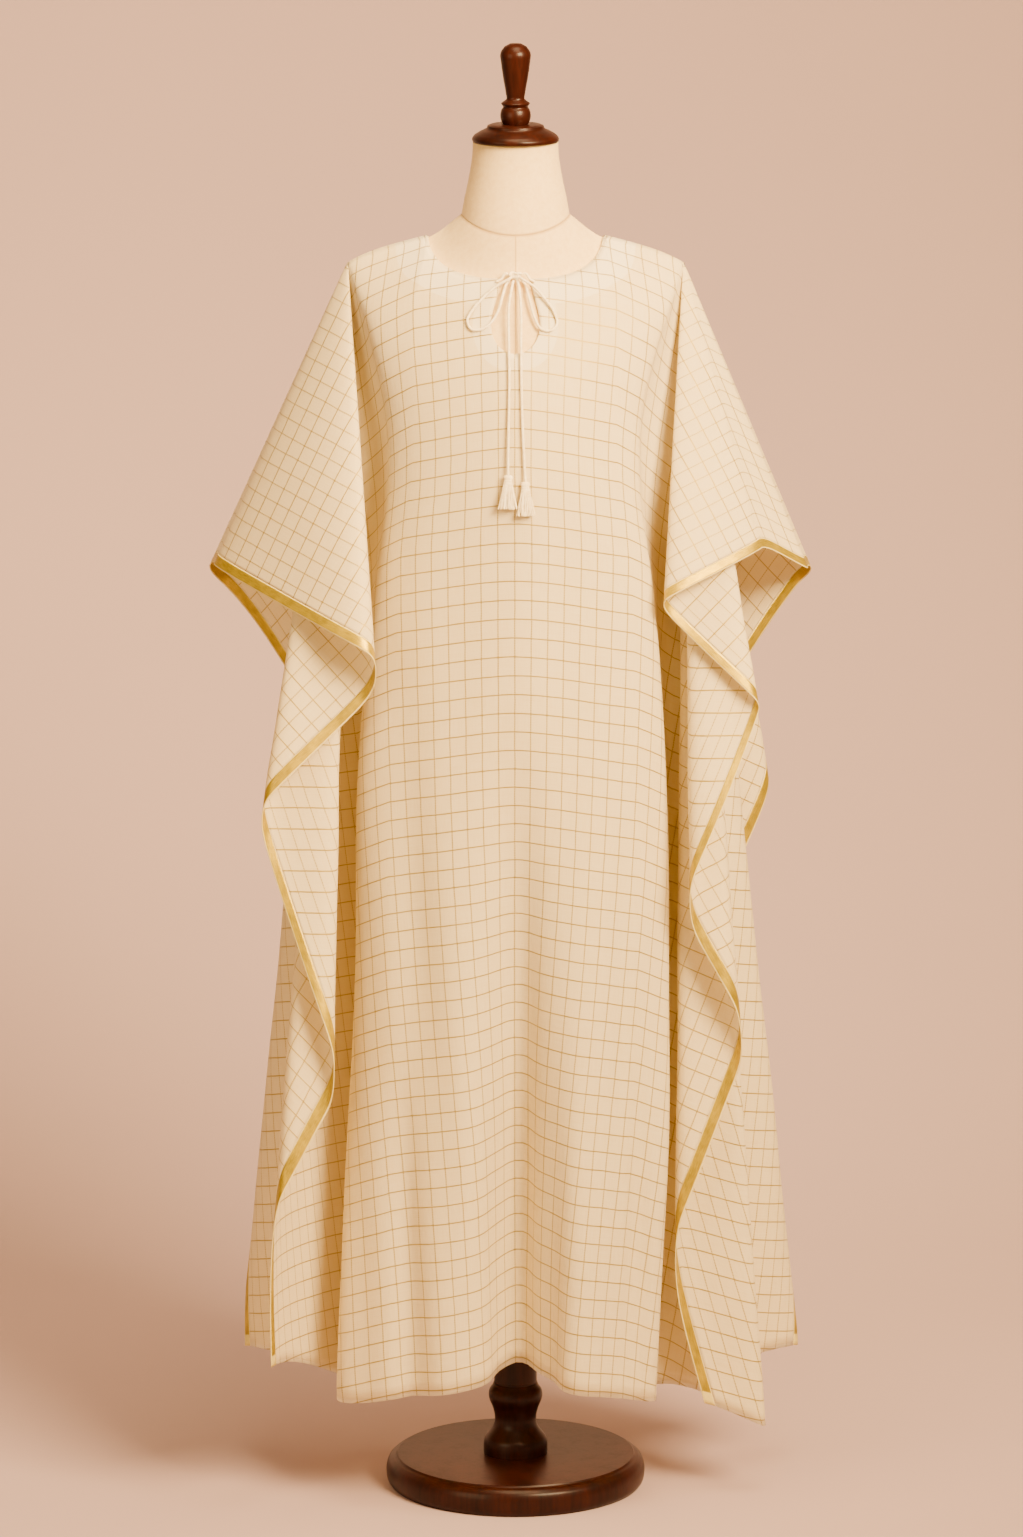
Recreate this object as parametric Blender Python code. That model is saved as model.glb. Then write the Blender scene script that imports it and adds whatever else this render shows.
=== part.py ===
"""Checked cotton kaftan with gold selvedge borders, worn by a limbless dress form on a turned wooden stand.

Units are metres, +Z is up and the front faces -Y. The origin is on the floor, under the middle of the stand.

The cloth is cut flat and then draped. A point of a panel has flat coordinates (u, v): u runs outward from
the centre line and v runs down from the shoulder fold. Each half of a panel hangs in two parts:
- the body, between the centre line and the side seam, is a loft of plan curves, one for each level v;
- the wing, outside the side seam, is a cone of straight folds that all start at the shoulder point, so its
  flat shape is kept and its edge falls in a cascade.
"""

import math

import bmesh
import bpy
import numpy as np

# Cloth sizes
CLOTH = 0.0012
SEAM_GAP = 0.0003
SHOULDER_U = 0.2085
SHOULDER_X = 0.203
SHOULDER_Z = 1.531
NECK_U = 0.108
NECK_Z = 1.564
WING_WIDTH = 0.405
PANEL_HALF = SHOULDER_U + WING_WIDTH
BORDER = 0.014
BODY_LENGTH = 1.455
CORNER_LENGTH = 1.33
HEM_RISE_FROM = 0.20
SEAM_ANGLE = math.radians(82.0)
NECK_DEPTH = {"front": 0.091, "back": 0.075}
KEYHOLE_TOP = 0.018
KEYHOLE_WIDE = 0.028
KEYHOLE_LENGTH = 0.095
FACING = 0.0010
FACING_GAP = 0.0005
FACING_WIDTH = 0.034

# Grid rows. Row 0 is the neckline, row 2 the facing's edge, and the others are shares of the way from there to
# the hem: the first of them follow the keyhole, and the next one is the lower edge of the keyhole's facing.
FACING_ROW = 2
KEYHOLE_SHARES = (0.33, 0.62, 0.83, 0.95, 1.0)
FACING_BELOW = 0.014
LOWER_SHARES = (0.10, 0.145, 0.205, 0.285, 0.40, 0.55, 0.70, 0.85, 1.0)
BELOW_FACING = BODY_LENGTH - NECK_DEPTH["front"] - FACING_WIDTH
ROW_SHARES = [share * (KEYHOLE_LENGTH - FACING_WIDTH) / BELOW_FACING for share in KEYHOLE_SHARES]
ROW_SHARES += [(KEYHOLE_LENGTH - FACING_WIDTH + FACING_BELOW) / BELOW_FACING, *LOWER_SHARES]
FACING_KEYHOLE_ROW = FACING_ROW + len(KEYHOLE_SHARES) + 1
# Grid columns of a body, as places across it: the first follow the neckline's curve, by angle, to its side.
NECK_ANGLES = (0, 9, 18, 27, 36, 46, 56, 66, 76, 90)
SIDE_SHARES = (0.60, 0.67, 0.74, 0.80, 0.86, 0.93, 1.0)
COLUMN_SHARES = [math.sin(math.radians(a)) * NECK_U / SHOULDER_U for a in NECK_ANGLES] + list(SIDE_SHARES)
FACING_COLUMN = len(NECK_ANGLES) + 1
FACING_KEYHOLE_COLUMN = 2
# Rows that a wing shares with its body, and the places of its columns between two folds.
WING_ROWS = (0, 2, 5, 8, 10, 12, 13, 15, 17)
WING_STEPS = (0.0, 0.08, 0.22, 0.5, 0.78, 0.92)

# Wing folds, from the shoulder fold to the side seam. side: degrees outward from straight down.
# depth: degrees away from the mid plane. heading: travel of the cloth in plan, 0 is inward and 90 is
# away from the mid plane. pull: how wide the fold is rounded, in degrees. reach: length factor.
WINGS = {
    ("front", -1): [
        dict(name="slope", side=23.9, depth=0.0, heading=90, pull=20.0, reach=1.0),
        dict(name="crest", side=-4.3, depth=20.1, heading=-90, pull=27.6, reach=0.957),
        dict(name="tuck", side=9.0, depth=13.7, heading=-90, pull=11.9, reach=0.934),
        dict(name="crest_low", side=1.0, depth=11.0, heading=-90, pull=9.4, reach=1.0),
        dict(name="tuck_low", side=4.5, depth=8.9, heading=-90, pull=9.0, reach=0.969),
        dict(name="seam", side=-1.0, depth=0.0, heading=0, pull=4.7, reach=1.0),
    ],
    ("front", 1): [
        dict(name="slope", side=22.2, depth=0.0, heading=90, pull=7.0, reach=1.0),
        dict(name="ridge", side=15.4, depth=10.9, heading=63, pull=12.0, reach=0.864),
        dict(name="crest", side=-3.5, depth=16.1, heading=-90, pull=13.9, reach=0.858),
        dict(name="tuck", side=9.8, depth=12.2, heading=-90, pull=9.2, reach=0.9),
        dict(name="crest_mid", side=0.6, depth=10.1, heading=-90, pull=11.7, reach=1.0),
        dict(name="tuck_mid", side=4.4, depth=6.2, heading=-90, pull=9.5, reach=1.006),
        dict(name="crest_low", side=-0.3, depth=4.1, heading=-90, pull=7.8, reach=1.0),
        dict(name="tuck_low", side=4.2, depth=2.0, heading=-90, pull=3.6, reach=1.05),
        dict(name="seam", side=-1.0, depth=0.0, heading=0, pull=4.0, reach=1.0),
    ],
    ("back", -1): [
        dict(name="slope", side=23.9, depth=0.0, heading=90, pull=22.7, reach=1.0),
        dict(name="belly", side=19.2, depth=19.6, heading=-13, pull=20.2, reach=1.086),
        dict(name="crest", side=1.5, depth=7.1, heading=-90, pull=4.2, reach=1.067),
        dict(name="tuck", side=6.6, depth=8.4, heading=-90, pull=6.4, reach=1.0),
        dict(name="crest_low", side=0.9, depth=3.1, heading=-90, pull=7.0, reach=1.0),
        dict(name="tuck_low", side=5.9, depth=4.4, heading=-90, pull=5.6, reach=1.0),
        dict(name="seam", side=-1.0, depth=0.0, heading=0, pull=10.4, reach=1.0),
    ],
    ("back", 1): [
        dict(name="slope", side=22.2, depth=0.0, heading=90, pull=22.6, reach=1.0),
        dict(name="belly", side=18.4, depth=21.0, heading=-29, pull=17.9, reach=1.09),
        dict(name="crest", side=3.1, depth=7.8, heading=-90, pull=5.0, reach=1.069),
        dict(name="tuck", side=9.5, depth=8.6, heading=-90, pull=10.1, reach=1.0),
        dict(name="crest_low", side=0.2, depth=3.4, heading=-90, pull=9.0, reach=1.0),
        dict(name="tuck_low", side=6.3, depth=3.8, heading=-90, pull=5.1, reach=1.0),
        dict(name="seam", side=-1.0, depth=0.0, heading=0, pull=10.4, reach=1.0),
    ],
}
# Over the armhole the front and the back stand apart along the seam by this angle each. It closes between
# these distances from the shoulder point, where the side seam is sewn.
ARMHOLE_SPREAD = 5.0
ARMHOLE_FROM = 0.25
ARMHOLE_TO = 0.43

# Body levels. v: cloth distance from the shoulder fold. middle: how far the centre line stands off the mid
# plane. side_x, side_y: the point of the section where the cloth turns back towards the seam.
BODY = {
    ("front", -1): [
        dict(v=0.00, middle=0.000, side_x=0.203, side_y=0.000),
        dict(v=0.03, middle=0.0285, side_x=0.197, side_y=0.012),
        dict(v=0.06, middle=0.055, side_x=0.190, side_y=0.026),
        dict(v=0.09, middle=0.079, side_x=0.182, side_y=0.041),
        dict(v=0.15, middle=0.109, side_x=0.168, side_y=0.060),
        dict(v=0.22, middle=0.132, side_x=0.155, side_y=0.070),
        dict(v=0.30, middle=0.144, side_x=0.153, side_y=0.076),
        dict(v=0.45, middle=0.150, side_x=0.172, side_y=0.080),
        dict(v=0.65, middle=0.155, side_x=0.190, side_y=0.082),
        dict(v=0.90, middle=0.163, side_x=0.197, side_y=0.086),
        dict(v=1.15, middle=0.172, side_x=0.207, side_y=0.092),
        dict(v=1.42, middle=0.182, side_x=0.219, side_y=0.098),
    ],
    ("front", 1): [
        dict(v=0.00, middle=0.000, side_x=0.203, side_y=0.000),
        dict(v=0.03, middle=0.0285, side_x=0.197, side_y=0.012),
        dict(v=0.06, middle=0.055, side_x=0.190, side_y=0.026),
        dict(v=0.09, middle=0.079, side_x=0.182, side_y=0.041),
        dict(v=0.15, middle=0.109, side_x=0.166, side_y=0.060),
        dict(v=0.22, middle=0.132, side_x=0.152, side_y=0.070),
        dict(v=0.30, middle=0.144, side_x=0.150, side_y=0.076),
        dict(v=0.45, middle=0.150, side_x=0.168, side_y=0.080),
        dict(v=0.65, middle=0.155, side_x=0.182, side_y=0.082),
        dict(v=0.90, middle=0.163, side_x=0.185, side_y=0.086),
        dict(v=1.15, middle=0.172, side_x=0.184, side_y=0.092),
        dict(v=1.42, middle=0.182, side_x=0.176, side_y=0.098),
    ],
    "back": [
        dict(v=0.00, middle=0.000, side_x=0.203, side_y=0.000),
        dict(v=0.03, middle=0.0285, side_x=0.197, side_y=0.012),
        dict(v=0.06, middle=0.054, side_x=0.190, side_y=0.025),
        dict(v=0.09, middle=0.076, side_x=0.183, side_y=0.038),
        dict(v=0.15, middle=0.096, side_x=0.172, side_y=0.052),
        dict(v=0.22, middle=0.106, side_x=0.163, side_y=0.060),
        dict(v=0.30, middle=0.109, side_x=0.162, side_y=0.064),
        dict(v=0.45, middle=0.113, side_x=0.172, side_y=0.068),
        dict(v=0.65, middle=0.122, side_x=0.184, side_y=0.074),
        dict(v=0.90, middle=0.135, side_x=0.192, side_y=0.080),
        dict(v=1.15, middle=0.150, side_x=0.200, side_y=0.086),
        dict(v=1.42, middle=0.165, side_x=0.208, side_y=0.092),
    ],
}
BODY[("back", -1)] = BODY[("back", 1)] = BODY.pop("back")

# Valleys of the skirt, for each panel. x: where, width: half width, depth: at the hem, start: level v where
# the valley begins.
SKIRT = {
    "front": [
        dict(x=0.004, width=0.042, depth=0.105, start=0.55),
        dict(x=-0.128, width=0.024, depth=0.020, start=0.60),
        dict(x=0.112, width=0.020, depth=0.010, start=0.55),
        dict(x=0.150, width=0.016, depth=0.016, start=0.75),
    ],
    "back": [
        dict(x=-0.055, width=0.036, depth=0.060, start=0.45),
        dict(x=0.070, width=0.034, depth=0.070, start=0.40),
        dict(x=-0.145, width=0.022, depth=0.020, start=0.65),
        dict(x=0.155, width=0.020, depth=0.016, start=0.70),
    ],
}

# Neck tie: one cord through the knot at the neckline, with a bow of two loops and two long ends.
# across, down: flat place on the front panel. lift: height of the cord's centre over the cloth's middle.
# Each cord leaves the knot at its exits. around: degrees outward from straight down. ahead: degrees forward.
CORD = 0.0034
CORD_STEP = 0.0100
CORD_SIDES = 2
KNOT = dict(down=0.090, lift=0.0052, across=0.0180, deep=0.0110, height=0.0130)
KNOT_GAP = 0.0005
KNOT_LEAD = 0.0025
KNOT_EXITS = {
    "tie_stub": [dict(around=100, ahead=0)],
    "tie_loop": [dict(around=75, ahead=40), dict(around=58, ahead=0)],
    "tie_end": [dict(around=25, ahead=25)],
}
TIES = {
    "tie_stub_left": [
        dict(across=-0.0165, down=0.0930, lift=0.0034),
        dict(across=-0.0215, down=0.0950, lift=0.0027),
    ],
    "tie_stub_right": [
        dict(across=0.0165, down=0.0930, lift=0.0034),
        dict(across=0.0215, down=0.0950, lift=0.0027),
    ],
    "tie_loop_left": [
        dict(across=-0.0200, down=0.1030, lift=0.0075),
        dict(across=-0.0340, down=0.1130, lift=0.0050),
        dict(across=-0.0480, down=0.1270, lift=0.0036),
        dict(across=-0.0545, down=0.1400, lift=0.0032),
        dict(across=-0.0500, down=0.1510, lift=0.0032),
        dict(across=-0.0380, down=0.1530, lift=0.0034),
        dict(across=-0.0270, down=0.1460, lift=0.0036),
        dict(across=-0.0190, down=0.1320, lift=0.0040),
        dict(across=-0.0145, down=0.1150, lift=0.0042),
    ],
    "tie_loop_right": [
        dict(across=0.0200, down=0.1040, lift=0.0075),
        dict(across=0.0330, down=0.1170, lift=0.0050),
        dict(across=0.0440, down=0.1320, lift=0.0036),
        dict(across=0.0470, down=0.1450, lift=0.0032),
        dict(across=0.0400, down=0.1540, lift=0.0032),
        dict(across=0.0290, down=0.1540, lift=0.0034),
        dict(across=0.0220, down=0.1430, lift=0.0036),
        dict(across=0.0175, down=0.1280, lift=0.0040),
        dict(across=0.0140, down=0.1130, lift=0.0042),
    ],
    "tie_end_left": [
        dict(across=-0.0070, down=0.1250, lift=0.0060),
        dict(across=-0.0075, down=0.1700, lift=0.0045),
        dict(across=-0.0070, down=0.2100, lift=0.0036),
        dict(across=-0.0080, down=0.2700, lift=0.0042),
        dict(across=-0.0085, down=0.3300, lift=0.0062),
    ],
    "tie_end_right": [
        dict(across=0.0055, down=0.1250, lift=0.0060),
        dict(across=0.0060, down=0.1700, lift=0.0045),
        dict(across=0.0065, down=0.2100, lift=0.0036),
        dict(across=0.0080, down=0.2700, lift=0.0042),
        dict(across=0.0110, down=0.3380, lift=0.0062),
    ],
}
# Tassels at the cord's ends. Each is a flattened brush of threads below a bound head.
TASSEL_HEAD = 0.011
TASSEL_HEAD_RINGS = [
    dict(wide=1.0, up=0.0),
    dict(wide=0.78, up=0.42),
    dict(wide=1.10, up=0.68),
    dict(wide=1.0, up=0.90),
    dict(wide=0.55, up=1.0),
]
TASSEL_LENGTH = 0.042
TASSEL_TOP = 0.0055
TASSEL_SPREAD = 0.0115
TASSEL_FLAT = 0.55
TASSEL_LIFT = 0.0095
THREAD_RINGS = (0.28, 0.62, 1.0)
THREAD_SIDES = 10
THREAD_GAP = 0.00025

# Dress form. NECK_SEAM is the oval where neck and torso meet. Below it the torso follows the inside of the
# cloth, in rings drawn on the flat cloth: half is along the shoulder fold, front and back are down the middle.
NECK_SEAM = dict(half=0.0650, front=0.062, back=0.050, square=2.0, side_z=1.590, front_z=1.572, back_z=1.590)
SHOULDER_RINGS = [
    dict(half=0.108, front=0.091, back=0.075),
    dict(half=0.128, front=0.112, back=0.096),
    dict(half=0.148, front=0.135, back=0.120),
    dict(half=0.168, front=0.165, back=0.150),
    dict(half=0.188, front=0.200, back=0.185),
]
FORM_INSET = 0.0034
# Free rings of the torso, from the arm plates down. half: half width. front, back: depths. square: 2 is an
# ellipse, more is squarer. side_z, front_z, back_z: heights.
TORSO = [
    dict(half=0.182, front=0.112, back=0.092, square=2.0, side_z=1.488, front_z=1.395, back_z=1.395),
    dict(half=0.148, front=0.124, back=0.094, square=2.0, side_z=1.420, front_z=1.335, back_z=1.335),
    dict(half=0.136, front=0.126, back=0.092, square=2.1, side_z=1.330, front_z=1.280, back_z=1.280),
    dict(half=0.118, front=0.104, back=0.080, square=2.2, side_z=1.150, front_z=1.135, back_z=1.135),
    dict(half=0.152, front=0.110, back=0.090, square=2.2, side_z=0.940, front_z=0.940, back_z=0.940),
    dict(half=0.150, front=0.105, back=0.090, square=2.2, side_z=0.840, front_z=0.840, back_z=0.840),
]
TORSO_STEPS = (2, 1, 1, 1, 1, 2, 2, 2, 3, 3, 2)
RING_SIDES = 28
NECK_TOP_Z = 1.6765
NECK_SHIFT = -0.006
LINEN_GAP = 0.0003

# Turned wood: radius and height down each profile, from the top.
CAP_PROFILE = [
    dict(r=0.0000, z=1.6987),
    dict(r=0.0300, z=1.6987),
    dict(r=0.0340, z=1.6970),
    dict(r=0.0345, z=1.6945),
    dict(r=0.0430, z=1.6900),
    dict(r=0.0500, z=1.6855),
    dict(r=0.0523, z=1.6820),
    dict(r=0.0515, z=1.6780),
    dict(r=0.0485, z=1.6768),
    dict(r=0.0000, z=1.6768),
]
FINIAL_PROFILE = [
    dict(r=0.0000, z=1.7965),
    dict(r=0.0070, z=1.7958),
    dict(r=0.0130, z=1.7925),
    dict(r=0.0175, z=1.7865),
    dict(r=0.0185, z=1.7825),
    dict(r=0.0178, z=1.7750),
    dict(r=0.0150, z=1.7550),
    dict(r=0.0118, z=1.7360),
    dict(r=0.0112, z=1.7290),
    dict(r=0.0150, z=1.7260),
    dict(r=0.0174, z=1.7240),
    dict(r=0.0160, z=1.7215),
    dict(r=0.0150, z=1.7200),
    dict(r=0.0170, z=1.7165),
    dict(r=0.0184, z=1.7100),
    dict(r=0.0175, z=1.7035),
    dict(r=0.0155, z=1.6990),
    dict(r=0.0000, z=1.6990),
]
POLE_R = 0.0265
POLE_PROFILE = [
    dict(r=0.0000, z=0.8397),
    dict(r=POLE_R, z=0.8397),
    dict(r=POLE_R, z=0.1283),
    dict(r=0.0000, z=0.1283),
]
COLLAR_PROFILE = [
    dict(r=0.0000, z=0.1280),
    dict(r=0.0270, z=0.1280),
    dict(r=0.0285, z=0.1240),
    dict(r=0.0325, z=0.1180),
    dict(r=0.0335, z=0.1120),
    dict(r=0.0325, z=0.1060),
    dict(r=0.0285, z=0.0960),
    dict(r=0.0262, z=0.0870),
    dict(r=0.0258, z=0.0800),
    dict(r=0.0275, z=0.0720),
    dict(r=0.0315, z=0.0655),
    dict(r=0.0335, z=0.0630),
    dict(r=0.0380, z=0.0570),
    dict(r=0.0395, z=0.0500),
    dict(r=0.0395, z=0.0373),
    dict(r=0.0000, z=0.0373),
]
BASE_R = 0.161
BASE_PROFILE = [
    dict(r=0.0000, z=0.0370),
    dict(r=0.1470, z=0.0370),
    dict(r=0.1485, z=0.0350),
    dict(r=0.1530, z=0.0335),
    dict(r=0.1580, z=0.0290),
    dict(r=0.1605, z=0.0220),
    dict(r=BASE_R, z=0.0140),
    dict(r=0.1595, z=0.0050),
    dict(r=0.1560, z=0.0000),
    dict(r=0.0000, z=0.0000),
]
NECK = [
    dict(share=1.0, half=0.0515),
    dict(share=0.85, half=0.0520),
    dict(share=0.5, half=0.0565),
    dict(share=0.2, half=0.0620),
    dict(share=0.0, half=0.0650),
]

FORWARD = {"front": -1.0, "back": 1.0}
PATH_SAMPLES = 120
LEVELS = 297
LEVEL_STEP = 0.005
ACROSS = 61


def ease(t):
    """Smooth step from 0 to 1."""
    t = np.clip(t, 0.0, 1.0)
    return t * t * (3.0 - 2.0 * t)


def hermite(p0, m0, p1, m1, t):
    """Cubic from p0 with tangent m0 to p1 with tangent m1."""
    t = np.asarray(t)[..., None]
    a, b = t * t, t * t * t
    return (2 * b - 3 * a + 1) * p0 + (b - 2 * a + t) * m0 + (3 * a - 2 * b) * p1 + (b - a) * m1


def column(rows, key, at):
    """A table's column as a smooth curve of its first column."""
    first = next(iter(rows[0]))
    x = np.array([row[first] for row in rows])
    y = np.array([row[key] for row in rows])
    slope = np.gradient(y, x)
    i = np.clip(np.searchsorted(x, at, side="right") - 1, 0, len(x) - 2)
    h = x[i + 1] - x[i]
    t = np.clip((at - x[i]) / h, 0.0, 1.0)
    a, b = t * t, t * t * t
    return ((2 * b - 3 * a + 1) * y[i] + (b - 2 * a + t) * h * slope[i]
            + (3 * a - 2 * b) * y[i + 1] + (b - a) * h * slope[i + 1])


class Wing:
    """One wing: the cloth outside the side seam, as a cone of folds from the shoulder point."""

    def __init__(self, panel, side):
        self.side = side
        self.forward = FORWARD[panel]
        rows = WINGS[(panel, side)]
        self.slope, self.seam = rows[0]["side"], rows[-1]["side"]
        self.deepest = max(row["depth"] for row in rows)
        arcs, self.path = self.trace(rows)
        self.angles = arcs / arcs[-1] * SEAM_ANGLE
        self.fold_angles = self.angles[::PATH_SAMPLES]

    def lines(self, sides, depths):
        """Unit directions from the shoulder point, from degrees outward and degrees off the mid plane."""
        sides, depths = np.radians(sides), np.radians(depths)
        out = np.stack([self.side * np.tan(sides), self.forward * np.tan(depths), -np.ones(sides.shape)], -1)
        return out / np.linalg.norm(out, axis=-1)[..., None]

    def trace(self, rows):
        """Arc length along the folds of a table, and the side, depth and reach at each sample."""
        parts = []
        t = np.linspace(0.0, 1.0, PATH_SAMPLES, endpoint=False)
        for a, b in zip(rows[:-1], rows[1:]):
            ends = []
            for row in (a, b):
                heading = math.radians(row["heading"])
                ends += [np.array([row["side"], row["depth"]]),
                         np.array([-math.cos(heading), math.sin(heading)]) * row["pull"]]
            reach = a["reach"] + (b["reach"] - a["reach"]) * ease(t)
            parts.append(np.column_stack([hermite(*ends, t), reach]))
        last = rows[-1]
        path = np.vstack(parts + [[last["side"], last["depth"], last["reach"]]])
        steps = np.linalg.norm(np.diff(self.lines(path[:, 0], path[:, 1]), axis=0), axis=1)
        return np.concatenate([[0.0], np.cumsum(steps)]), path

    def point(self, u, v):
        """Places in space of flat points (u, v) outside the seam."""
        r = np.hypot(u - SHOULDER_U, v)
        angle = np.clip(np.arctan2(v, u - SHOULDER_U), 0.0, SEAM_ANGLE)
        sides, depths, reach = [np.interp(angle, self.angles, self.path[:, k]) for k in range(3)]
        spread = ARMHOLE_SPREAD * (1 - ease((r - ARMHOLE_FROM) / (ARMHOLE_TO - ARMHOLE_FROM)))
        inward = (self.slope - sides) / (self.slope - self.seam)
        depths = depths + spread * inward * (1 - depths / self.deepest)
        line = self.lines(sides, depths)
        return np.array([self.side * SHOULDER_X, 0.0, SHOULDER_Z]) + (r * reach)[..., None] * line


def shoulder_line(u):
    """Place of the shoulder fold at distance u from the centre: level across the neck, then sloping."""
    run = np.clip((u - NECK_U) / (SHOULDER_U - NECK_U), 0.0, 1.0)
    x = np.minimum(u, NECK_U) + run * (SHOULDER_X - NECK_U)
    z = NECK_Z + (0.75 * run + 0.25 * run ** 4) * (SHOULDER_Z - NECK_Z)
    return x, z


def seam_u(v):
    """Distance of the side seam from the centre line in the flat cloth."""
    return SHOULDER_U + v / math.tan(SEAM_ANGLE)


class Body:
    """Half of a panel between the centre line and the side seam, as a loft of plan curves."""

    def __init__(self, panel, side, wing):
        self.side = side
        rows = BODY[(panel, side)]
        forward = FORWARD[panel]
        levels = np.arange(LEVELS) * LEVEL_STEP
        shares = np.linspace(0.0, 1.0, ACROSS)
        self.x = np.zeros((LEVELS, ACROSS))
        self.y = np.zeros((LEVELS, ACROSS))
        seam = wing.point(seam_u(levels), levels)
        t = np.linspace(0.0, 1.0, 40)
        for k, v in enumerate(levels):
            middle = np.array([0.0, column(rows, "middle", v)])
            turn = np.array([column(rows, "side_x", v), column(rows, "side_y", v)])
            end = np.array([seam[k, 0] * side, seam[k, 1] * forward])
            across = turn[0] * 0.95
            back = max((middle[1] - turn[1]) * 1.5, 1e-5)
            front = hermite(middle, np.array([across, 0.0]), turn, np.array([0.0, -back]), t)
            flank = max((turn[1] - end[1]) * 1.2, 1e-5)
            rear = hermite(turn, np.array([0.0, -flank]), end, np.array([flank * 0.8, 0.0]), t)
            for fold in SKIRT[panel]:
                grow = ease((v - fold["start"]) / (BODY_LENGTH - fold["start"])) * fold["depth"]
                away = (front[:, 0] - fold["x"] * side) / fold["width"]
                front[:, 1] -= grow * np.exp(-away ** 2)
            plan = np.vstack([front, rear[1:]])
            run = np.concatenate([[0.0], np.cumsum(np.linalg.norm(np.diff(plan, axis=0), axis=1))])
            self.x[k] = np.interp(shares * run[-1], run, plan[:, 0])
            self.y[k] = np.interp(shares * run[-1], run, plan[:, 1])
        self.x[0], shoulder_z = shoulder_line(shares * SHOULDER_U)
        self.y[0] = 0.0
        self.y *= forward
        self.z = self.hang(levels, shares, shoulder_z)
        self.z += shares ** 4 * (seam[:, 2:] - self.z[:, -1:])

    def hang(self, levels, shares, shoulder_z):
        """Height of each point, so that every column keeps its cloth length."""
        z = np.zeros((LEVELS, ACROSS))
        z[0] = shoulder_z
        for k in range(1, LEVELS):
            step = LEVEL_STEP * np.hypot(1.0, shares / math.tan(SEAM_ANGLE))
            moved = np.hypot(self.x[k] - self.x[k - 1], self.y[k] - self.y[k - 1])
            z[k] = z[k - 1] - np.sqrt(np.maximum(step ** 2 - moved ** 2, (0.08 * step) ** 2))
        return z

    def point(self, u, v):
        """Places in space of flat points (u, v) inside the seam."""
        i = np.clip(v / LEVEL_STEP, 0, LEVELS - 1.001)
        j = np.clip(u / seam_u(v), 0, 1) * (ACROSS - 1)
        out = [cubic_sample(table, i, j) for table in (self.x, self.y, self.z)]
        return np.stack([self.side * out[0], out[1], out[2]], -1)


def cubic_weights(t):
    """Weights of four neighbours for a smooth curve through samples."""
    return (0.5 * (-t + 2 * t ** 2 - t ** 3), 0.5 * (2 - 5 * t ** 2 + 3 * t ** 3),
            0.5 * (t + 4 * t ** 2 - 3 * t ** 3), 0.5 * (t ** 3 - t ** 2))


def cubic_sample(table, i, j):
    """A table read between its samples at row i and column j."""
    i0, j0 = np.floor(i).astype(int), np.floor(j).astype(int)
    total = 0.0
    for a, wa in enumerate(cubic_weights(i - i0)):
        row = i0 + a - 1
        for b, wb in enumerate(cubic_weights(j - j0)):
            total = total + wa * wb * edge_value(table, row, j0 + b - 1)
    return total


def edge_value(table, row, col):
    """A sample of a table, carried on in a straight line past its edges."""
    last_row, last_col = table.shape[0] - 1, table.shape[1] - 1
    r, c = np.clip(row, 0, last_row), np.clip(col, 0, last_col)
    r_in = np.clip(2 * r - row, 0, last_row)
    c_in = np.clip(2 * c - col, 0, last_col)
    return table[r, c] + (table[r, c] - table[r_in, c]) + (table[r, c] - table[r, c_in])


class Panel:
    """A whole front or back, draped."""

    def __init__(self, name):
        self.name = name
        self.forward = FORWARD[name]
        self.wings = {side: Wing(name, side) for side in (-1, 1)}
        self.bodies = {side: Body(name, side, self.wings[side]) for side in (-1, 1)}

    def point(self, side, u, v):
        """Place of the flat points (u, v) of one half, u counted outward."""
        u, v = np.broadcast_arrays(np.asarray(u, float), np.asarray(v, float))
        inside = u <= seam_u(v)
        out = np.where(inside[..., None], self.bodies[side].point(u, v), self.wings[side].point(u, v))
        spread = (CLOTH / 2 + SEAM_GAP) * ease(v / 0.05) * ease(np.arctan2(v, u - SHOULDER_U) / math.radians(30))
        out[..., 1] += self.forward * spread
        return out

    def normal(self, side, u, v):
        """Outward direction of the cloth at flat points (u, v)."""
        e = 2e-4
        low = np.maximum(v - e, 1e-6)
        across = self.point(side, u + e, v) - self.point(side, np.maximum(u - e, 0.0), v)
        down = self.point(side, u, v + e) - self.point(side, u, low)
        out = np.cross(across, down) * side * self.forward
        top = np.asarray(v) < 2 * SEAM_GAP
        along = across.copy()
        along[..., 1] = 0.0
        flat = np.cross(along, np.array([0.0, 1.0, 0.0]))
        flat *= np.sign(flat[..., 2:3] + 1e-12)
        out = np.where(top[..., None], flat, out)
        return out / np.maximum(np.linalg.norm(out, axis=-1), 1e-12)[..., None]


def keyhole_half(v):
    """Half width of the keyhole at level v of the front panel, and 0 below it."""
    t = np.clip((v - NECK_DEPTH["front"]) / KEYHOLE_LENGTH, 0.0, 1.0)
    widen = KEYHOLE_TOP + (KEYHOLE_WIDE - KEYHOLE_TOP) * ease(t / 0.6)
    close = np.sqrt(np.clip(1.0 - (np.clip(t - 0.6, 0, 1) / 0.4) ** 2, 0.0, 1.0))
    return widen * close


def neck_start(panel, u):
    """Level v at which the cloth starts, at distance u from the centre."""
    inside = np.sqrt(np.clip(1.0 - (u / NECK_U) ** 2, 0.0, 1.0))
    return np.maximum(NECK_DEPTH[panel] * inside, SEAM_GAP / 2)


def facing_edge(panel, u):
    """Level v of the neck facing's outer edge, and of the grid row that carries it on to the side seam."""
    inside = np.sqrt(np.clip(1.0 - (u / (NECK_U + FACING_WIDTH)) ** 2, 0.0, 1.0))
    return np.hypot((NECK_DEPTH[panel] + FACING_WIDTH) * inside, FACING_WIDTH * (u / SHOULDER_U) ** 2)


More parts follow.
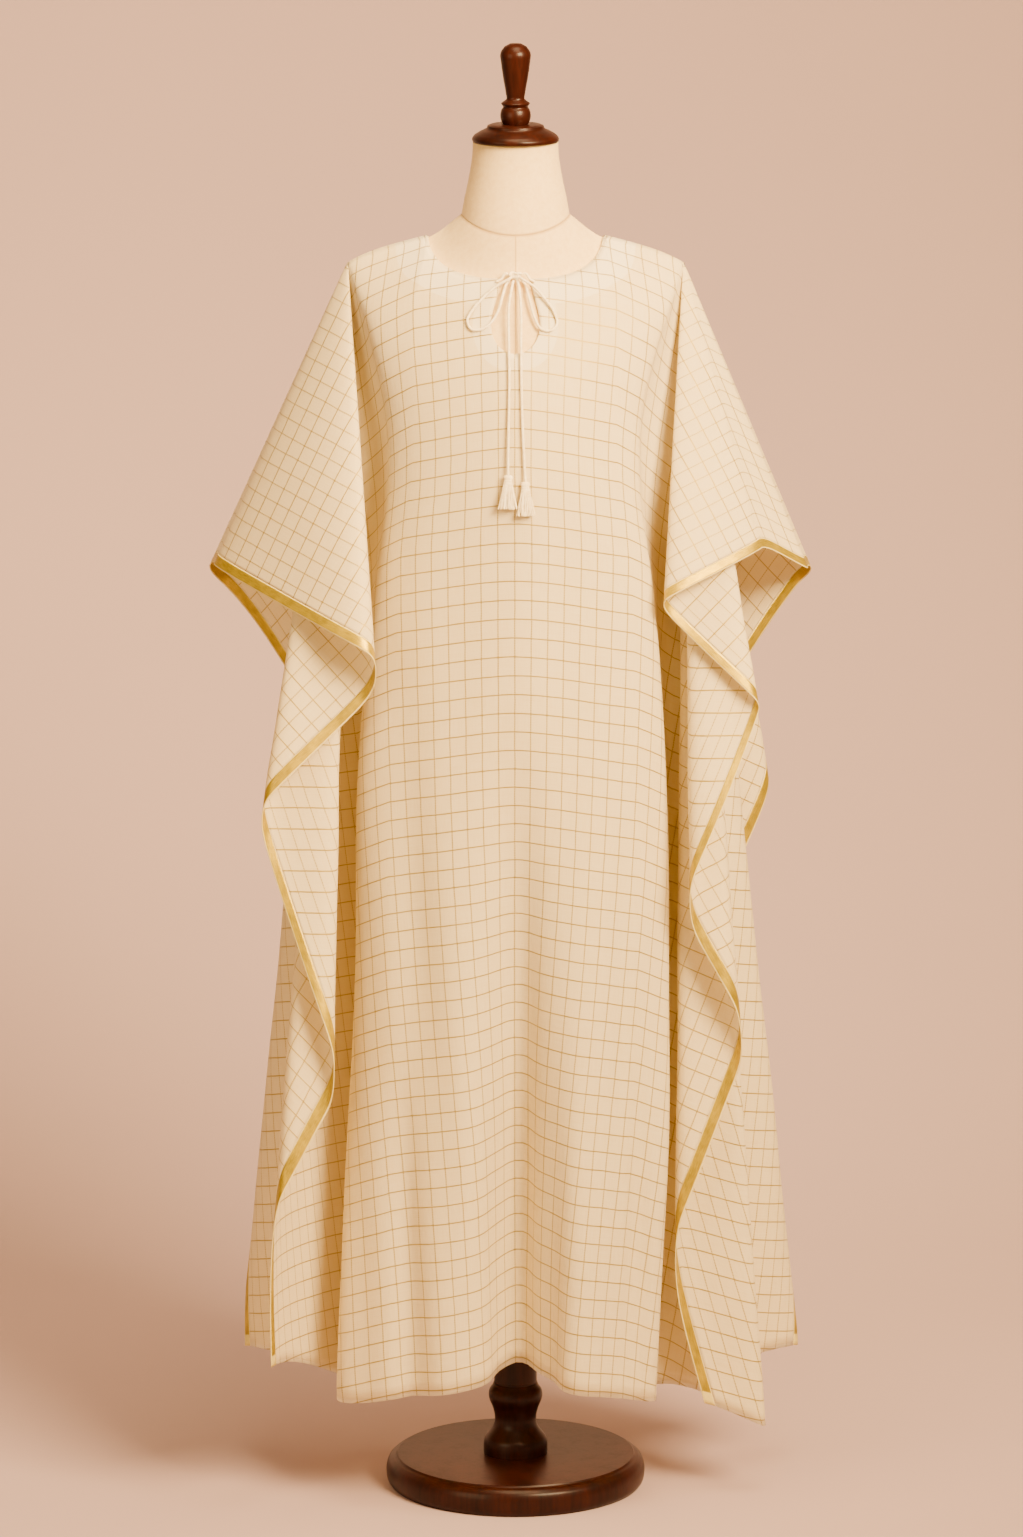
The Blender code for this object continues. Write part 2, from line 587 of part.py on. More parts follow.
def hem_level(u):
    """Level v of the hem at distance u from the centre."""
    rise = ease((u - HEM_RISE_FROM) / (PANEL_HALF - HEM_RISE_FROM))
    return BODY_LENGTH - (BODY_LENGTH - CORNER_LENGTH) * rise


def body_grid(panel):
    """Flat points (u, v) of half a body: rows down, columns outward."""
    shares = np.array(COLUMN_SHARES)
    hem = np.full(len(shares), BODY_LENGTH)
    for _ in range(8):
        hem = hem_level(shares * seam_u(hem))
    start = neck_start(panel, shares * SHOULDER_U)
    edge = facing_edge(panel, shares * SHOULDER_U)
    rows = [start, (start + edge) / 2, edge]
    rows += [edge + (hem - edge) * share for share in ROW_SHARES]
    v = np.array(rows)
    u = shares * seam_u(v)
    if panel == "front":
        u = u + keyhole_half(v[:, :1]) * (1 - shares) ** 3
        v[0] = neck_start(panel, u[0])
    return u, v


def wing_angles(wing, edge):
    """Cloth angles of a wing's columns, from the seam to the shoulder fold, and the hem corner's place."""
    folds = wing.fold_angles
    angles = [a + (b - a) * t for a, b in zip(folds[:-1], folds[1:]) for t in WING_STEPS]
    angles = np.array(angles + [folds[-1]])[::-1]
    corner = math.atan2(CORNER_LENGTH, edge)
    nearest = 1 + np.argmin(np.abs(angles[1:-1] - corner))
    angles[nearest] = corner
    return angles, nearest


def wing_grid(wing, edge, seam_v):
    """Flat points (u, v) of a wing up to the distance edge from the shoulder point, on the seam's levels."""
    angles, corner = wing_angles(wing, edge)
    reach = np.full(len(angles), BODY_LENGTH)
    for _ in range(12):
        reach = hem_level(SHOULDER_U + reach * np.cos(angles)) / np.sin(np.maximum(angles, 0.3))
    reach[corner:] = edge / np.cos(angles[corner:])
    even = 1.0 - 0.35 * ease((SEAM_ANGLE - angles) / math.radians(25))
    r = reach * (seam_v / seam_v[-1])[:, None] ** even
    u, v = SHOULDER_U + r * np.cos(angles), r * np.sin(angles)
    return u, np.maximum(v, SEAM_GAP / 2), corner


class Cloth:
    """Points and faces of a sheet, turned into a wall of even thickness."""

    def __init__(self):
        self.points, self.normals, self.faces = [], [], []

    def add(self, points, normals):
        """Adds a block of points and gives their indices."""
        first = len(self.points)
        self.points += list(points.reshape(-1, 3))
        self.normals += list(normals.reshape(-1, 3))
        return first + np.arange(points[..., 0].size).reshape(points.shape[:-1])

    def weave(self, index, flip):
        """Adds the faces of a grid of indices, skipping sides of no length."""
        for i in range(index.shape[0] - 1):
            for j in range(index.shape[1] - 1):
                self.face([index[i, j], index[i + 1, j], index[i + 1, j + 1], index[i, j + 1]], flip)

    def face(self, ring, flip):
        """Adds one face, leaving out points that come twice."""
        ring = [a for k, a in enumerate(ring) if a != ring[k - 1]]
        if len(ring) > 2:
            self.faces.append(ring[::-1] if flip else ring)

    def triangles(self, ring):
        """Cuts a face into triangles, so that both skins of the wall bend along the same lines."""
        if len(ring) == 3:
            return [ring]
        across = [np.linalg.norm(self.points[ring[k]] - self.points[ring[k + 2]]) for k in (0, 1)]
        k = int(across[1] < across[0])
        return [[ring[k], ring[k + 1], ring[k + 2]], [ring[k + 2], ring[(k + 3) % 4], ring[k]]]

    def rim(self, bm, skins, a, b):
        """Closes the wall along the open edge (a, b), cut from the outer skin's upper end to the inner's lower."""
        if self.points[a][2] > self.points[b][2]:
            ring = [skins[0][b], skins[0][a], skins[1][b]], [skins[0][a], skins[1][a], skins[1][b]]
        else:
            ring = [skins[0][b], skins[0][a], skins[1][a]], [skins[0][b], skins[1][a], skins[1][b]]
        for part in ring:
            bm.faces.new(part)

    def wall(self, name, thickness, offset, material, faces=None):
        """Makes the wall as an object: a skin on each side and a rim along every open edge."""
        faces = self.faces if faces is None else faces
        faces = [part for ring in faces for part in self.triangles(ring)]
        used = sorted({a for ring in faces for a in ring})
        bm = bmesh.new()
        skins = []
        for shift in (offset + thickness / 2, offset - thickness / 2):
            skins.append({a: bm.verts.new(self.points[a] + self.normals[a] * shift) for a in used})
        for ring in faces:
            bm.faces.new([skins[0][a] for a in ring])
            bm.faces.new([skins[1][a] for a in reversed(ring)])
        edges = {(ring[k - 1], ring[k]) for ring in faces for k in range(len(ring))}
        for a, b in sorted(edges):
            if (b, a) not in edges:
                self.rim(bm, skins, a, b)
        return finish_object(name, bm, material, 50)


def finish_object(name, bm, material, sharp_angle):
    """Turns a bmesh into a smooth-shaded object with one material."""
    mesh = bpy.data.meshes.new(name)
    bm.to_mesh(mesh)
    bm.free()
    mesh.materials.append(material)
    mesh.shade_smooth()
    mesh.set_sharp_from_angle(angle=math.radians(sharp_angle))
    made = bpy.data.objects.new(name, mesh)
    bpy.context.collection.objects.link(made)
    return made


def paint(name, colour, roughness, metallic=0.0):
    """A Principled material of one colour."""
    material = bpy.data.materials.new(name)
    material.use_nodes = True
    shader = material.node_tree.nodes["Principled BSDF"]
    shader.inputs["Base Color"].default_value = (*colour, 1.0)
    shader.inputs["Roughness"].default_value = roughness
    shader.inputs["Metallic"].default_value = metallic
    return material


def merged(cloth, left, right):
    """Joins the first columns of two halves where their points are the same."""
    for i in range(left.shape[0]):
        a, b = left[i, 0], right[i, 0]
        if np.linalg.norm(cloth.points[a] - cloth.points[b]) < 1e-5:
            cloth.points[a] = cloth.points[a] * [0, 1, 1]
            cloth.normals[a] = cloth.normals[a] * [0, 1, 1]
            right[i, 0] = a


def make_panel(name, cotton, gold):
    """Cuts and drapes the front or the back with its two borders and its neck facing."""
    panel = Panel(name)
    cloth = Cloth()
    bodies, wings = {}, {}
    edge = WING_WIDTH - BORDER - SEAM_GAP
    for side in (-1, 1):
        u, v = body_grid(name)
        bodies[side] = cloth.add(panel.point(side, u, v), panel.normal(side, u, v))
        u, v, corner = wing_grid(panel.wings[side], edge, v[list(WING_ROWS), -1])
        wings[side] = cloth.add(panel.point(side, u, v), panel.normal(side, u, v))
        make_border(panel, side, np.arctan2(v[-1, corner:], edge), gold)
    merged(cloth, bodies[-1], bodies[1])
    for side in (-1, 1):
        flip = (side * panel.forward) > 0
        cloth.weave(bodies[side], flip)
        join_wing(cloth, bodies[side][:, -1], wings[side], flip)
    cloth.wall(f"{name}_panel", CLOTH, 0.0, cotton)
    make_facing(name, cloth, bodies, cotton)
    return panel


def join_wing(cloth, seam, wing, flip):
    """Weaves a wing to its body. The wing has fewer rows, so each of its points takes several of the seam's."""
    wing[0, :] = seam[0]
    cloth.weave(wing[:, 1:], flip)
    for k, (top, bottom) in enumerate(zip(WING_ROWS[:-1], WING_ROWS[1:])):
        for row in range(top, bottom):
            cloth.face([seam[row], seam[row + 1], wing[k + 1, 1]], flip)
        cloth.face([seam[top], wing[k + 1, 1], wing[k, 1]], flip)


def make_facing(name, cloth, bodies, cotton):
    """The strip inside the neckline and keyhole, made from the panel's own points moved inward."""
    part = Cloth()
    for side, body in bodies.items():
        flip = (side * FORWARD[name]) > 0
        part.weave(body[:FACING_ROW + 1, :FACING_COLUMN + 1], flip)
        if name == "front":
            part.weave(body[FACING_ROW:FACING_KEYHOLE_ROW + 1, :FACING_KEYHOLE_COLUMN + 1], flip)
    inward = -(CLOTH + FACING) / 2 - FACING_GAP
    cloth.wall(f"{name}_neck_facing", FACING, inward, cotton, part.faces)


def make_border(panel, side, angles, gold):
    """The gold selvedge strip along the outer edge of one wing, from the shoulder fold to the hem."""
    strip = Cloth()
    width = WING_WIDTH - BORDER + np.array([0.0, BORDER])
    v = np.minimum(width * np.tan(angles)[:, None], CORNER_LENGTH)
    u = np.broadcast_to(SHOULDER_U + width, v.shape)
    v = np.maximum(v, SEAM_GAP / 2)
    index = strip.add(panel.point(side, u, v), panel.normal(side, u, v))
    at_hem = v[:, 1] >= CORNER_LENGTH
    index[at_hem, 1] = index[at_hem, 1][0]
    strip.weave(index, (side * panel.forward) < 0)
    hand = "left" if side < 0 else "right"
    strip.wall(f"{panel.name}_border_{hand}", CLOTH, 0.0, gold)


def turned(name, profile, material, sides=32):
    """A turned solid from rows of radius and height, listed from the top down its outer side."""
    bm = bmesh.new()
    points = [bm.verts.new((row["r"], 0.0, row["z"])) for row in profile]
    edges = [bm.edges.new(pair) for pair in zip(points[:-1], points[1:])]
    bmesh.ops.spin(bm, geom=points + edges, axis=(0, 0, 1), cent=(0, 0, 0), dvec=(0, 0, 0),
                   angle=2 * math.pi, steps=sides, use_merge=True, use_duplicate=False)
    bmesh.ops.remove_doubles(bm, verts=bm.verts, dist=1e-6)
    bmesh.ops.recalc_face_normals(bm, faces=bm.faces)
    return finish_object(name, bm, material, 35)


def ring_points(row, sides):
    """Points round one ring of the form, starting at +X and going by the front."""
    angles = np.arange(sides) * 2 * math.pi / sides
    c, s = np.cos(angles), np.sin(angles)
    power = 2.0 / row["square"]
    x = row["half"] * np.sign(c) * np.abs(c) ** power
    front = s > 0
    y = np.where(front, -row["front"], row["back"]) * np.abs(s) ** power
    fall = np.where(front, row["front_z"], row["back_z"]) - row["side_z"]
    z = row["side_z"] + fall * np.abs(s) ** 1.6
    return np.stack([x, y, z], 1)


def ring_solid(name, rings, material):
    """A closed solid through rings of points, from top to bottom."""
    bm = bmesh.new()
    loops = [[bm.verts.new(p) for p in ring] for ring in rings]
    for upper, lower in zip(loops[:-1], loops[1:]):
        for k in range(len(upper)):
            bm.faces.new([upper[k - 1], upper[k], lower[k], lower[k - 1]])
    bm.faces.new(loops[0][::-1])
    bm.faces.new(loops[-1])
    bmesh.ops.triangulate(bm, faces=[f for f in bm.faces if len(f.verts) > 4])
    bmesh.ops.recalc_face_normals(bm, faces=bm.faces)
    return finish_object(name, bm, material, 60)


def shoulder_ring(panels, row, sides):
    """Points of the form just inside the cloth, on one oval of the flat cloth."""
    out = []
    for angle in np.arange(sides) * 2 * math.pi / sides:
        panel = panels["front" if math.sin(angle) >= 0 else "back"]
        side = 1 if math.cos(angle) >= 0 else -1
        u = max(row["half"] * abs(math.cos(angle)), 1e-3 * FORM_INSET)
        v = row[panel.name] * abs(math.sin(angle))
        out.append(panel.point(side, u, v) - panel.normal(side, max(u, 1e-3), v) * FORM_INSET)
    return np.array(out)


def make_form(panels, linen):
    """The torso and the neck of the dress form, with the seam between them."""
    seam = ring_points(NECK_SEAM, RING_SIDES)
    torso = [seam] + [shoulder_ring(panels, row, RING_SIDES) for row in SHOULDER_RINGS]
    torso += [ring_points(row, RING_SIDES) for row in TORSO]
    tangents = np.gradient(np.array(torso), axis=0)
    smooth = [seam]
    for k, steps in enumerate(TORSO_STEPS):
        for t in np.linspace(0, 1, steps + 1)[1:]:
            smooth.append(hermite(torso[k], tangents[k], torso[k + 1], tangents[k + 1], np.array(t)))
    ring_solid("form_torso", smooth, linen)
    rings = []
    for row in NECK:
        share, size = row["share"], row["half"] / NECK_SEAM["half"]
        ring = seam.copy()
        ring[:, 2] = ring[:, 2] * (1 - share) + NECK_TOP_Z * share + LINEN_GAP * (1 - share)
        ring[:, 0] *= size
        ring[:, 1] = (ring[:, 1] - NECK_SHIFT) * size + NECK_SHIFT * (1 - share)
        rings.append(ring)
    ring_solid("form_neck", rings, linen)


def make_stand(wood):
    """The turned wooden cap, finial, pole, collar and base disc."""
    turned("cap", CAP_PROFILE, wood, 24)
    turned("finial", FINIAL_PROFILE, wood, 16)
    turned("pole", POLE_PROFILE, wood, 20)
    turned("collar", COLLAR_PROFILE, wood, 20)
    turned("base_disc", BASE_PROFILE, wood, 32)


def over_cloth(panel, row):
    """Place of a table's row, lifted off the cloth."""
    side, u = (1 if row["across"] >= 0 else -1), abs(row["across"])
    return panel.point(side, u, row["down"]) + panel.normal(side, max(u, 1e-3), row["down"]) * row["lift"]


def knot_middle(panel):
    """Centre of the knot, in front of the keyhole's top."""
    return over_cloth(panel, dict(KNOT, across=0.0)) * [0, 1, 1]


def knot_exit(panel, row, side):
    """Two places on the line by which a cord leaves the knot square to it, the nearest one first."""
    around, ahead = math.radians(row["around"]), math.radians(row["ahead"])
    line = np.array([side * math.sin(around) * math.cos(ahead), -math.sin(ahead), -math.cos(around) * math.cos(ahead)])
    radii = np.array([KNOT["across"], KNOT["deep"], KNOT["height"]]) / 2
    surface = line / np.linalg.norm(line / radii)
    square = surface / radii ** 2
    square /= np.linalg.norm(square)
    return [knot_middle(panel) + surface + square * gap for gap in (KNOT_GAP, KNOT_GAP + KNOT_LEAD)]


def tie_route(panel, name, step):
    """Places along one cord of the tie, from the knot."""
    kind, hand = name.rsplit("_", 1)
    exits = [knot_exit(panel, row, 1 if hand == "right" else -1) for row in KNOT_EXITS[kind]]
    knots = exits[0] + [over_cloth(panel, row) for row in TIES[name]]
    if len(exits) > 1:
        knots += exits[1][::-1]
    return smooth_route(np.array(knots), step)


def smooth_route(knots, step):
    """A smooth curve through the given places, read at even steps."""
    chords = np.linalg.norm(np.diff(knots, axis=0), axis=1)
    slopes = np.gradient(knots, np.concatenate([[0.0], np.cumsum(chords)]), axis=0)
    t = np.linspace(0, 1, 20, endpoint=False)
    fine = [hermite(knots[k], slopes[k] * chords[k], knots[k + 1], slopes[k + 1] * chords[k], t)
            for k in range(len(chords))]
    fine = np.vstack(fine + [knots[-1:]])
    run = np.concatenate([[0.0], np.cumsum(np.linalg.norm(np.diff(fine, axis=0), axis=1))])
    even = np.linspace(0, run[-1], max(2, round(run[-1] / step)) + 1)
    return np.stack([np.interp(even, run, fine[:, k]) for k in range(3)], 1)


def make_cord(name, points, material):
    """A round cord as a bevelled curve with closed ends."""
    curve = bpy.data.curves.new(name, "CURVE")
    curve.dimensions = "3D"
    curve.bevel_depth = CORD / 2
    curve.bevel_resolution = CORD_SIDES
    curve.use_fill_caps = True
    line = curve.splines.new("POLY")
    line.points.add(len(points) - 1)
    for slot, place in zip(line.points, points):
        slot.co = (*place, 1.0)
    curve.materials.append(material)
    made = bpy.data.objects.new(name, curve)
    bpy.context.collection.objects.link(made)
    return made


def make_knot(panel, material):
    """The knot of the bow, a flattened ball in front of the keyhole's top."""
    bm = bmesh.new()
    bmesh.ops.create_uvsphere(bm, u_segments=14, v_segments=8, radius=0.5)
    bmesh.ops.scale(bm, vec=(KNOT["across"], KNOT["deep"], KNOT["height"]), verts=bm.verts)
    bmesh.ops.translate(bm, vec=knot_middle(panel), verts=bm.verts)
    return finish_object("tie_knot", bm, material, 60)


def make_tassel(name, top, bottom, material):
    """A tassel from its top towards its bottom: a bound head, with threads drawn out of its underside."""
    bm = bmesh.new()
    rim, cells = tassel_cells(bm)
    loops = [rim]
    for row in TASSEL_HEAD_RINGS[1:]:
        loops.append([bm.verts.new((*(v.co.xy * row["wide"]), TASSEL_HEAD * row["up"])) for v in rim])
    for lower, upper in zip(loops[:-1], loops[1:]):
        for k in range(len(lower)):
            bm.faces.new([lower[k - 1], lower[k], upper[k], upper[k - 1]])
    bm.faces.new(loops[-1])
    draw_threads(bm, cells)
    bmesh.ops.recalc_face_normals(bm, faces=bm.faces)
    z_axis = (top - bottom) / np.linalg.norm(top - bottom)
    x_axis = np.cross([0.0, 1.0, 0.0], z_axis)
    x_axis /= np.linalg.norm(x_axis)
    y_axis = np.cross(z_axis, x_axis)
    for v in bm.verts:
        v.co = top + v.co.x * x_axis + v.co.y * TASSEL_FLAT * y_axis + (v.co.z - TASSEL_HEAD) * z_axis
    return finish_object(name, bm, material, 60)


def tassel_cells(bm):
    """The underside of a tassel's head, as rings of four-sided cells round a small middle."""
    angles = np.arange(THREAD_SIDES) * 2 * math.pi / THREAD_SIDES
    loops = []
    for share in THREAD_RINGS:
        r = TASSEL_TOP * share
        loops.append([bm.verts.new((r * math.cos(a), r * math.sin(a), 0.0)) for a in angles])
    cells = []
    for inner, outer in zip(loops[:-1], loops[1:]):
        for k in range(THREAD_SIDES):
            cells.append(bm.faces.new([inner[k - 1], outer[k - 1], outer[k], inner[k]]))
    bm.faces.new(loops[0])
    return loops[-1], cells


def draw_threads(bm, cells):
    """Draws one thread down from each cell, spreading towards its tip."""
    reach = TASSEL_LENGTH - TASSEL_HEAD
    for k, cell in enumerate(cells):
        bmesh.ops.inset_individual(bm, faces=[cell], thickness=THREAD_GAP)
        middle = cell.calc_center_median()
        share = middle.xy.length / TASSEL_TOP
        for drop, grow in ((0.45, 1.5), (1.0 - 0.04 * (k % 3), 0.8)):
            cell = bmesh.ops.extrude_discrete_faces(bm, faces=[cell])["faces"][0]
            spread = TASSEL_TOP + (TASSEL_SPREAD - TASSEL_TOP) * drop
            target = middle.xy.normalized() * spread * share
            now = cell.calc_center_median()
            for v in cell.verts:
                v.co.xy = target + (v.co.xy - now.xy) * grow
                v.co.z = -reach * drop


def main():
    """Builds every piece."""
    for old in list(bpy.data.objects):
        bpy.data.objects.remove(old)
    cotton = paint("cotton", (0.86, 0.78, 0.60), 0.9)
    gold = paint("gold_selvedge", (0.62, 0.42, 0.06), 0.45, 0.6)
    braid = paint("cotton_cord", (0.87, 0.79, 0.62), 0.85)
    linen = paint("linen", (0.76, 0.66, 0.50), 0.95)
    wood = paint("polished_wood", (0.07, 0.018, 0.009), 0.25)
    panels = {name: make_panel(name, cotton, gold) for name in ("front", "back")}
    front = panels["front"]
    make_knot(front, braid)
    for name, rows in TIES.items():
        points = tie_route(front, name, CORD_STEP if "end" in name else CORD_STEP * 0.68)
        make_cord(name, points, braid)
        if "end" in name:
            tip = over_cloth(front, dict(rows[-1], down=rows[-1]["down"] + TASSEL_LENGTH, lift=TASSEL_LIFT))
            fall = (tip - points[-1]) / np.linalg.norm(tip - points[-1])
            make_tassel(name.replace("tie_end", "tassel"), points[-1] + fall * LINEN_GAP, tip, braid)
    make_form(panels, linen)
    make_stand(wood)


main()
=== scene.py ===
"""Looks of a checked cotton kaftan with gold edge bands, worn by a limbless dress form on a wooden stand.

Units are metres, +Z is up and the front faces -Y. A point of the cloth has flat coordinates (u, v): u runs
outward from the centre line and v runs down from the shoulder fold. They are also the cloth's UV map, so that
the checks keep their real size in every fold.
"""

import logging
import math
from collections.abc import Callable, Sequence
from dataclasses import dataclass, field
from enum import Enum

import bmesh
import bpy
import numpy as np
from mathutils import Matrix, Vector


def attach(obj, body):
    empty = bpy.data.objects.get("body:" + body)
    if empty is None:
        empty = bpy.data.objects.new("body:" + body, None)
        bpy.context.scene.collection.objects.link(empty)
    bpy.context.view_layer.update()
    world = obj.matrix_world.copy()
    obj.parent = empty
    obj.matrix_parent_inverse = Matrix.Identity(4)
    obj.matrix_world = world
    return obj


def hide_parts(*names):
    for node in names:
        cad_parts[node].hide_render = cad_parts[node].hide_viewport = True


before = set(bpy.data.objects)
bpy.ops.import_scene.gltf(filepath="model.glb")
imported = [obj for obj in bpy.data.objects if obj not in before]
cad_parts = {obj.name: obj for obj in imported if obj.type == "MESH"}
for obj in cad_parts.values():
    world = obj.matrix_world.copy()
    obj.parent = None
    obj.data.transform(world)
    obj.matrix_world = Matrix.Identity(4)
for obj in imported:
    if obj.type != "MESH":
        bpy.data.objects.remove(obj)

LOG = logging.getLogger("kaftan")
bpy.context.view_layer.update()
Array = np.ndarray
Point = tuple[float, float, float]


class Face(Enum):
    """A panel of the kaftan, by the way it faces."""

    FRONT = "front"
    BACK = "back"

    @property
    def forward(self) -> float:
        """The sign of Y on this panel's side."""
        return -1.0 if self is Face.FRONT else 1.0


class Hand(Enum):
    """A side of the object, as the viewer in front of it sees it."""

    LEFT = -1
    RIGHT = 1

    @property
    def word(self) -> str:
        """The side's name in lower case."""
        return self.name.lower()


class Slot(Enum):
    """A material slot of the record."""

    COTTON = "cotton"
    GOLD = "gold_selvedge"
    CORD = "cotton_cord"
    LINEN = "linen"
    WOOD = "polished_wood"


@dataclass(frozen=True)
class Cut:
    """The kaftan's flat cut, and the places on the form that it hangs from."""

    thickness: float = 0.0010
    seam_gap: float = 0.0003
    shoulder_u: float = 0.2085
    shoulder_x: float = 0.203
    shoulder_z: float = 1.531
    neck_u: float = 0.108
    neck_z: float = 1.564
    neck_front: float = 0.091
    neck_back: float = 0.075
    wing_width: float = 0.405
    band: float = 0.014
    length: float = 1.455
    corner_length: float = 1.33
    hem_rise_from: float = 0.20
    seam_angle: float = math.radians(82.0)
    keyhole_top: float = 0.018
    keyhole_wide: float = 0.028
    keyhole_length: float = 0.095
    facing_width: float = 0.034
    facing_below: float = 0.014
    armhole_spread: float = 5.0
    armhole_from: float = 0.25
    armhole_to: float = 0.43

    @property
    def half_width(self) -> float:
        """From the centre line to the outer edge."""
        return self.shoulder_u + self.wing_width

    def neck_depth(self, face: Face) -> float:
        """How far the neckline dips at the centre line."""
        return self.neck_front if face is Face.FRONT else self.neck_back


CUT = Cut()

# Points nearer to each other than this become one, in metres: at a cloth's seams, and in a fine tube.
SEAM_MERGE = 2e-5
TUBE_MERGE = 1e-7
SHORTEST_EDGE = 1e-6


@dataclass(frozen=True)
class Fold:
    """A straight fold of a wing, from the shoulder point down.

    side is degrees outward from straight down, and depth is degrees off the mid plane. heading is the cloth's
    travel in plan, where 0 is inward and 90 is off the mid plane. pull is how wide the fold is rounded, in
    degrees, and reach is a factor on its length.
    """

    side: float
    depth: float
    heading: float
    pull: float
    reach: float


@dataclass(frozen=True)
class Level:
    """A body's plan curve at the cloth distance v below the shoulder fold.

    middle is how far the centre line stands off the mid plane, and side_x and side_y are where the cloth
    turns back towards the side seam.
    """

    v: float
    middle: float
    side_x: float
    side_y: float


@dataclass(frozen=True)
class Valley:
    """A soft valley of the skirt: its place, half width, depth at the hem and the level where it begins."""

    x: float
    width: float
    depth: float
    start: float


WING_FOLDS: dict[tuple[Face, Hand], list[Fold]] = {
    (Face.FRONT, Hand.LEFT): [
        Fold(23.9, 0.0, 90, 20.0, 1.0),
        Fold(-4.3, 20.1, -90, 27.6, 0.957),
        Fold(9.0, 13.7, -90, 11.9, 0.934),
        Fold(1.0, 11.0, -90, 9.4, 1.0),
        Fold(4.5, 8.9, -90, 9.0, 0.969),
        Fold(-1.0, 0.0, 0, 4.7, 1.0),
    ],
    (Face.FRONT, Hand.RIGHT): [
        Fold(22.2, 0.0, 90, 7.0, 1.0),
        Fold(15.4, 10.9, 63, 12.0, 0.864),
        Fold(-3.5, 16.1, -90, 13.9, 0.858),
        Fold(9.8, 12.2, -90, 9.2, 0.9),
        Fold(0.6, 10.1, -90, 11.7, 1.0),
        Fold(4.4, 6.2, -90, 9.5, 1.006),
        Fold(-0.3, 4.1, -90, 7.8, 1.0),
        Fold(4.2, 2.0, -90, 3.6, 1.05),
        Fold(-1.0, 0.0, 0, 4.0, 1.0),
    ],
    (Face.BACK, Hand.LEFT): [
        Fold(23.9, 0.0, 90, 22.7, 1.0),
        Fold(19.2, 19.6, -13, 20.2, 1.086),
        Fold(1.5, 7.1, -90, 4.2, 1.067),
        Fold(6.6, 8.4, -90, 6.4, 1.0),
        Fold(0.9, 3.1, -90, 7.0, 1.0),
        Fold(5.9, 4.4, -90, 5.6, 1.0),
        Fold(-1.0, 0.0, 0, 10.4, 1.0),
    ],
    (Face.BACK, Hand.RIGHT): [
        Fold(22.2, 0.0, 90, 22.6, 1.0),
        Fold(18.4, 21.0, -29, 17.9, 1.09),
        Fold(3.1, 7.8, -90, 5.0, 1.069),
        Fold(9.5, 8.6, -90, 10.1, 1.0),
        Fold(0.2, 3.4, -90, 9.0, 1.0),
        Fold(6.3, 3.8, -90, 5.1, 1.0),
        Fold(-1.0, 0.0, 0, 10.4, 1.0),
    ],
}

BACK_LEVELS = [
    Level(0.00, 0.000, 0.203, 0.000),
    Level(0.03, 0.0285, 0.197, 0.012),
    Level(0.06, 0.054, 0.190, 0.025),
    Level(0.09, 0.076, 0.183, 0.038),
    Level(0.15, 0.096, 0.172, 0.052),
    Level(0.22, 0.106, 0.163, 0.060),
    Level(0.30, 0.109, 0.162, 0.064),
    Level(0.45, 0.113, 0.172, 0.068),
    Level(0.65, 0.122, 0.184, 0.074),
    Level(0.90, 0.135, 0.192, 0.080),
    Level(1.15, 0.150, 0.200, 0.086),
    Level(1.42, 0.165, 0.208, 0.092),
]
BODY_LEVELS: dict[tuple[Face, Hand], list[Level]] = {
    (Face.FRONT, Hand.LEFT): [
        Level(0.00, 0.000, 0.203, 0.000),
        Level(0.03, 0.0285, 0.197, 0.012),
        Level(0.06, 0.055, 0.190, 0.026),
        Level(0.09, 0.079, 0.182, 0.041),
        Level(0.15, 0.109, 0.168, 0.060),
        Level(0.22, 0.132, 0.155, 0.070),
        Level(0.30, 0.144, 0.153, 0.076),
        Level(0.45, 0.150, 0.172, 0.080),
        Level(0.65, 0.155, 0.190, 0.082),
        Level(0.90, 0.163, 0.197, 0.086),
        Level(1.15, 0.172, 0.207, 0.092),
        Level(1.42, 0.182, 0.219, 0.098),
    ],
    (Face.FRONT, Hand.RIGHT): [
        Level(0.00, 0.000, 0.203, 0.000),
        Level(0.03, 0.0285, 0.197, 0.012),
        Level(0.06, 0.055, 0.190, 0.026),
        Level(0.09, 0.079, 0.182, 0.041),
        Level(0.15, 0.109, 0.166, 0.060),
        Level(0.22, 0.132, 0.152, 0.070),
        Level(0.30, 0.144, 0.150, 0.076),
        Level(0.45, 0.150, 0.168, 0.080),
        Level(0.65, 0.155, 0.182, 0.082),
        Level(0.90, 0.163, 0.185, 0.086),
        Level(1.15, 0.172, 0.184, 0.092),
        Level(1.42, 0.182, 0.176, 0.098),
    ],
    (Face.BACK, Hand.LEFT): BACK_LEVELS,
    (Face.BACK, Hand.RIGHT): BACK_LEVELS,
}
SKIRT_VALLEYS: dict[Face, list[Valley]] = {
    Face.FRONT: [
        Valley(0.004, 0.042, 0.105, 0.55),
        Valley(-0.128, 0.024, 0.020, 0.60),
        Valley(0.112, 0.020, 0.010, 0.55),
        Valley(0.150, 0.016, 0.016, 0.75),
    ],
    Face.BACK: [
        Valley(-0.055, 0.036, 0.060, 0.45),
        Valley(0.070, 0.034, 0.070, 0.40),
        Valley(-0.145, 0.022, 0.020, 0.65),
        Valley(0.155, 0.020, 0.016, 0.70),
    ],
}


def ease(t: Array | float) -> Array:
    """Smooth step from 0 to 1."""
    t = np.clip(t, 0.0, 1.0)
    return t * t * (3.0 - 2.0 * t)


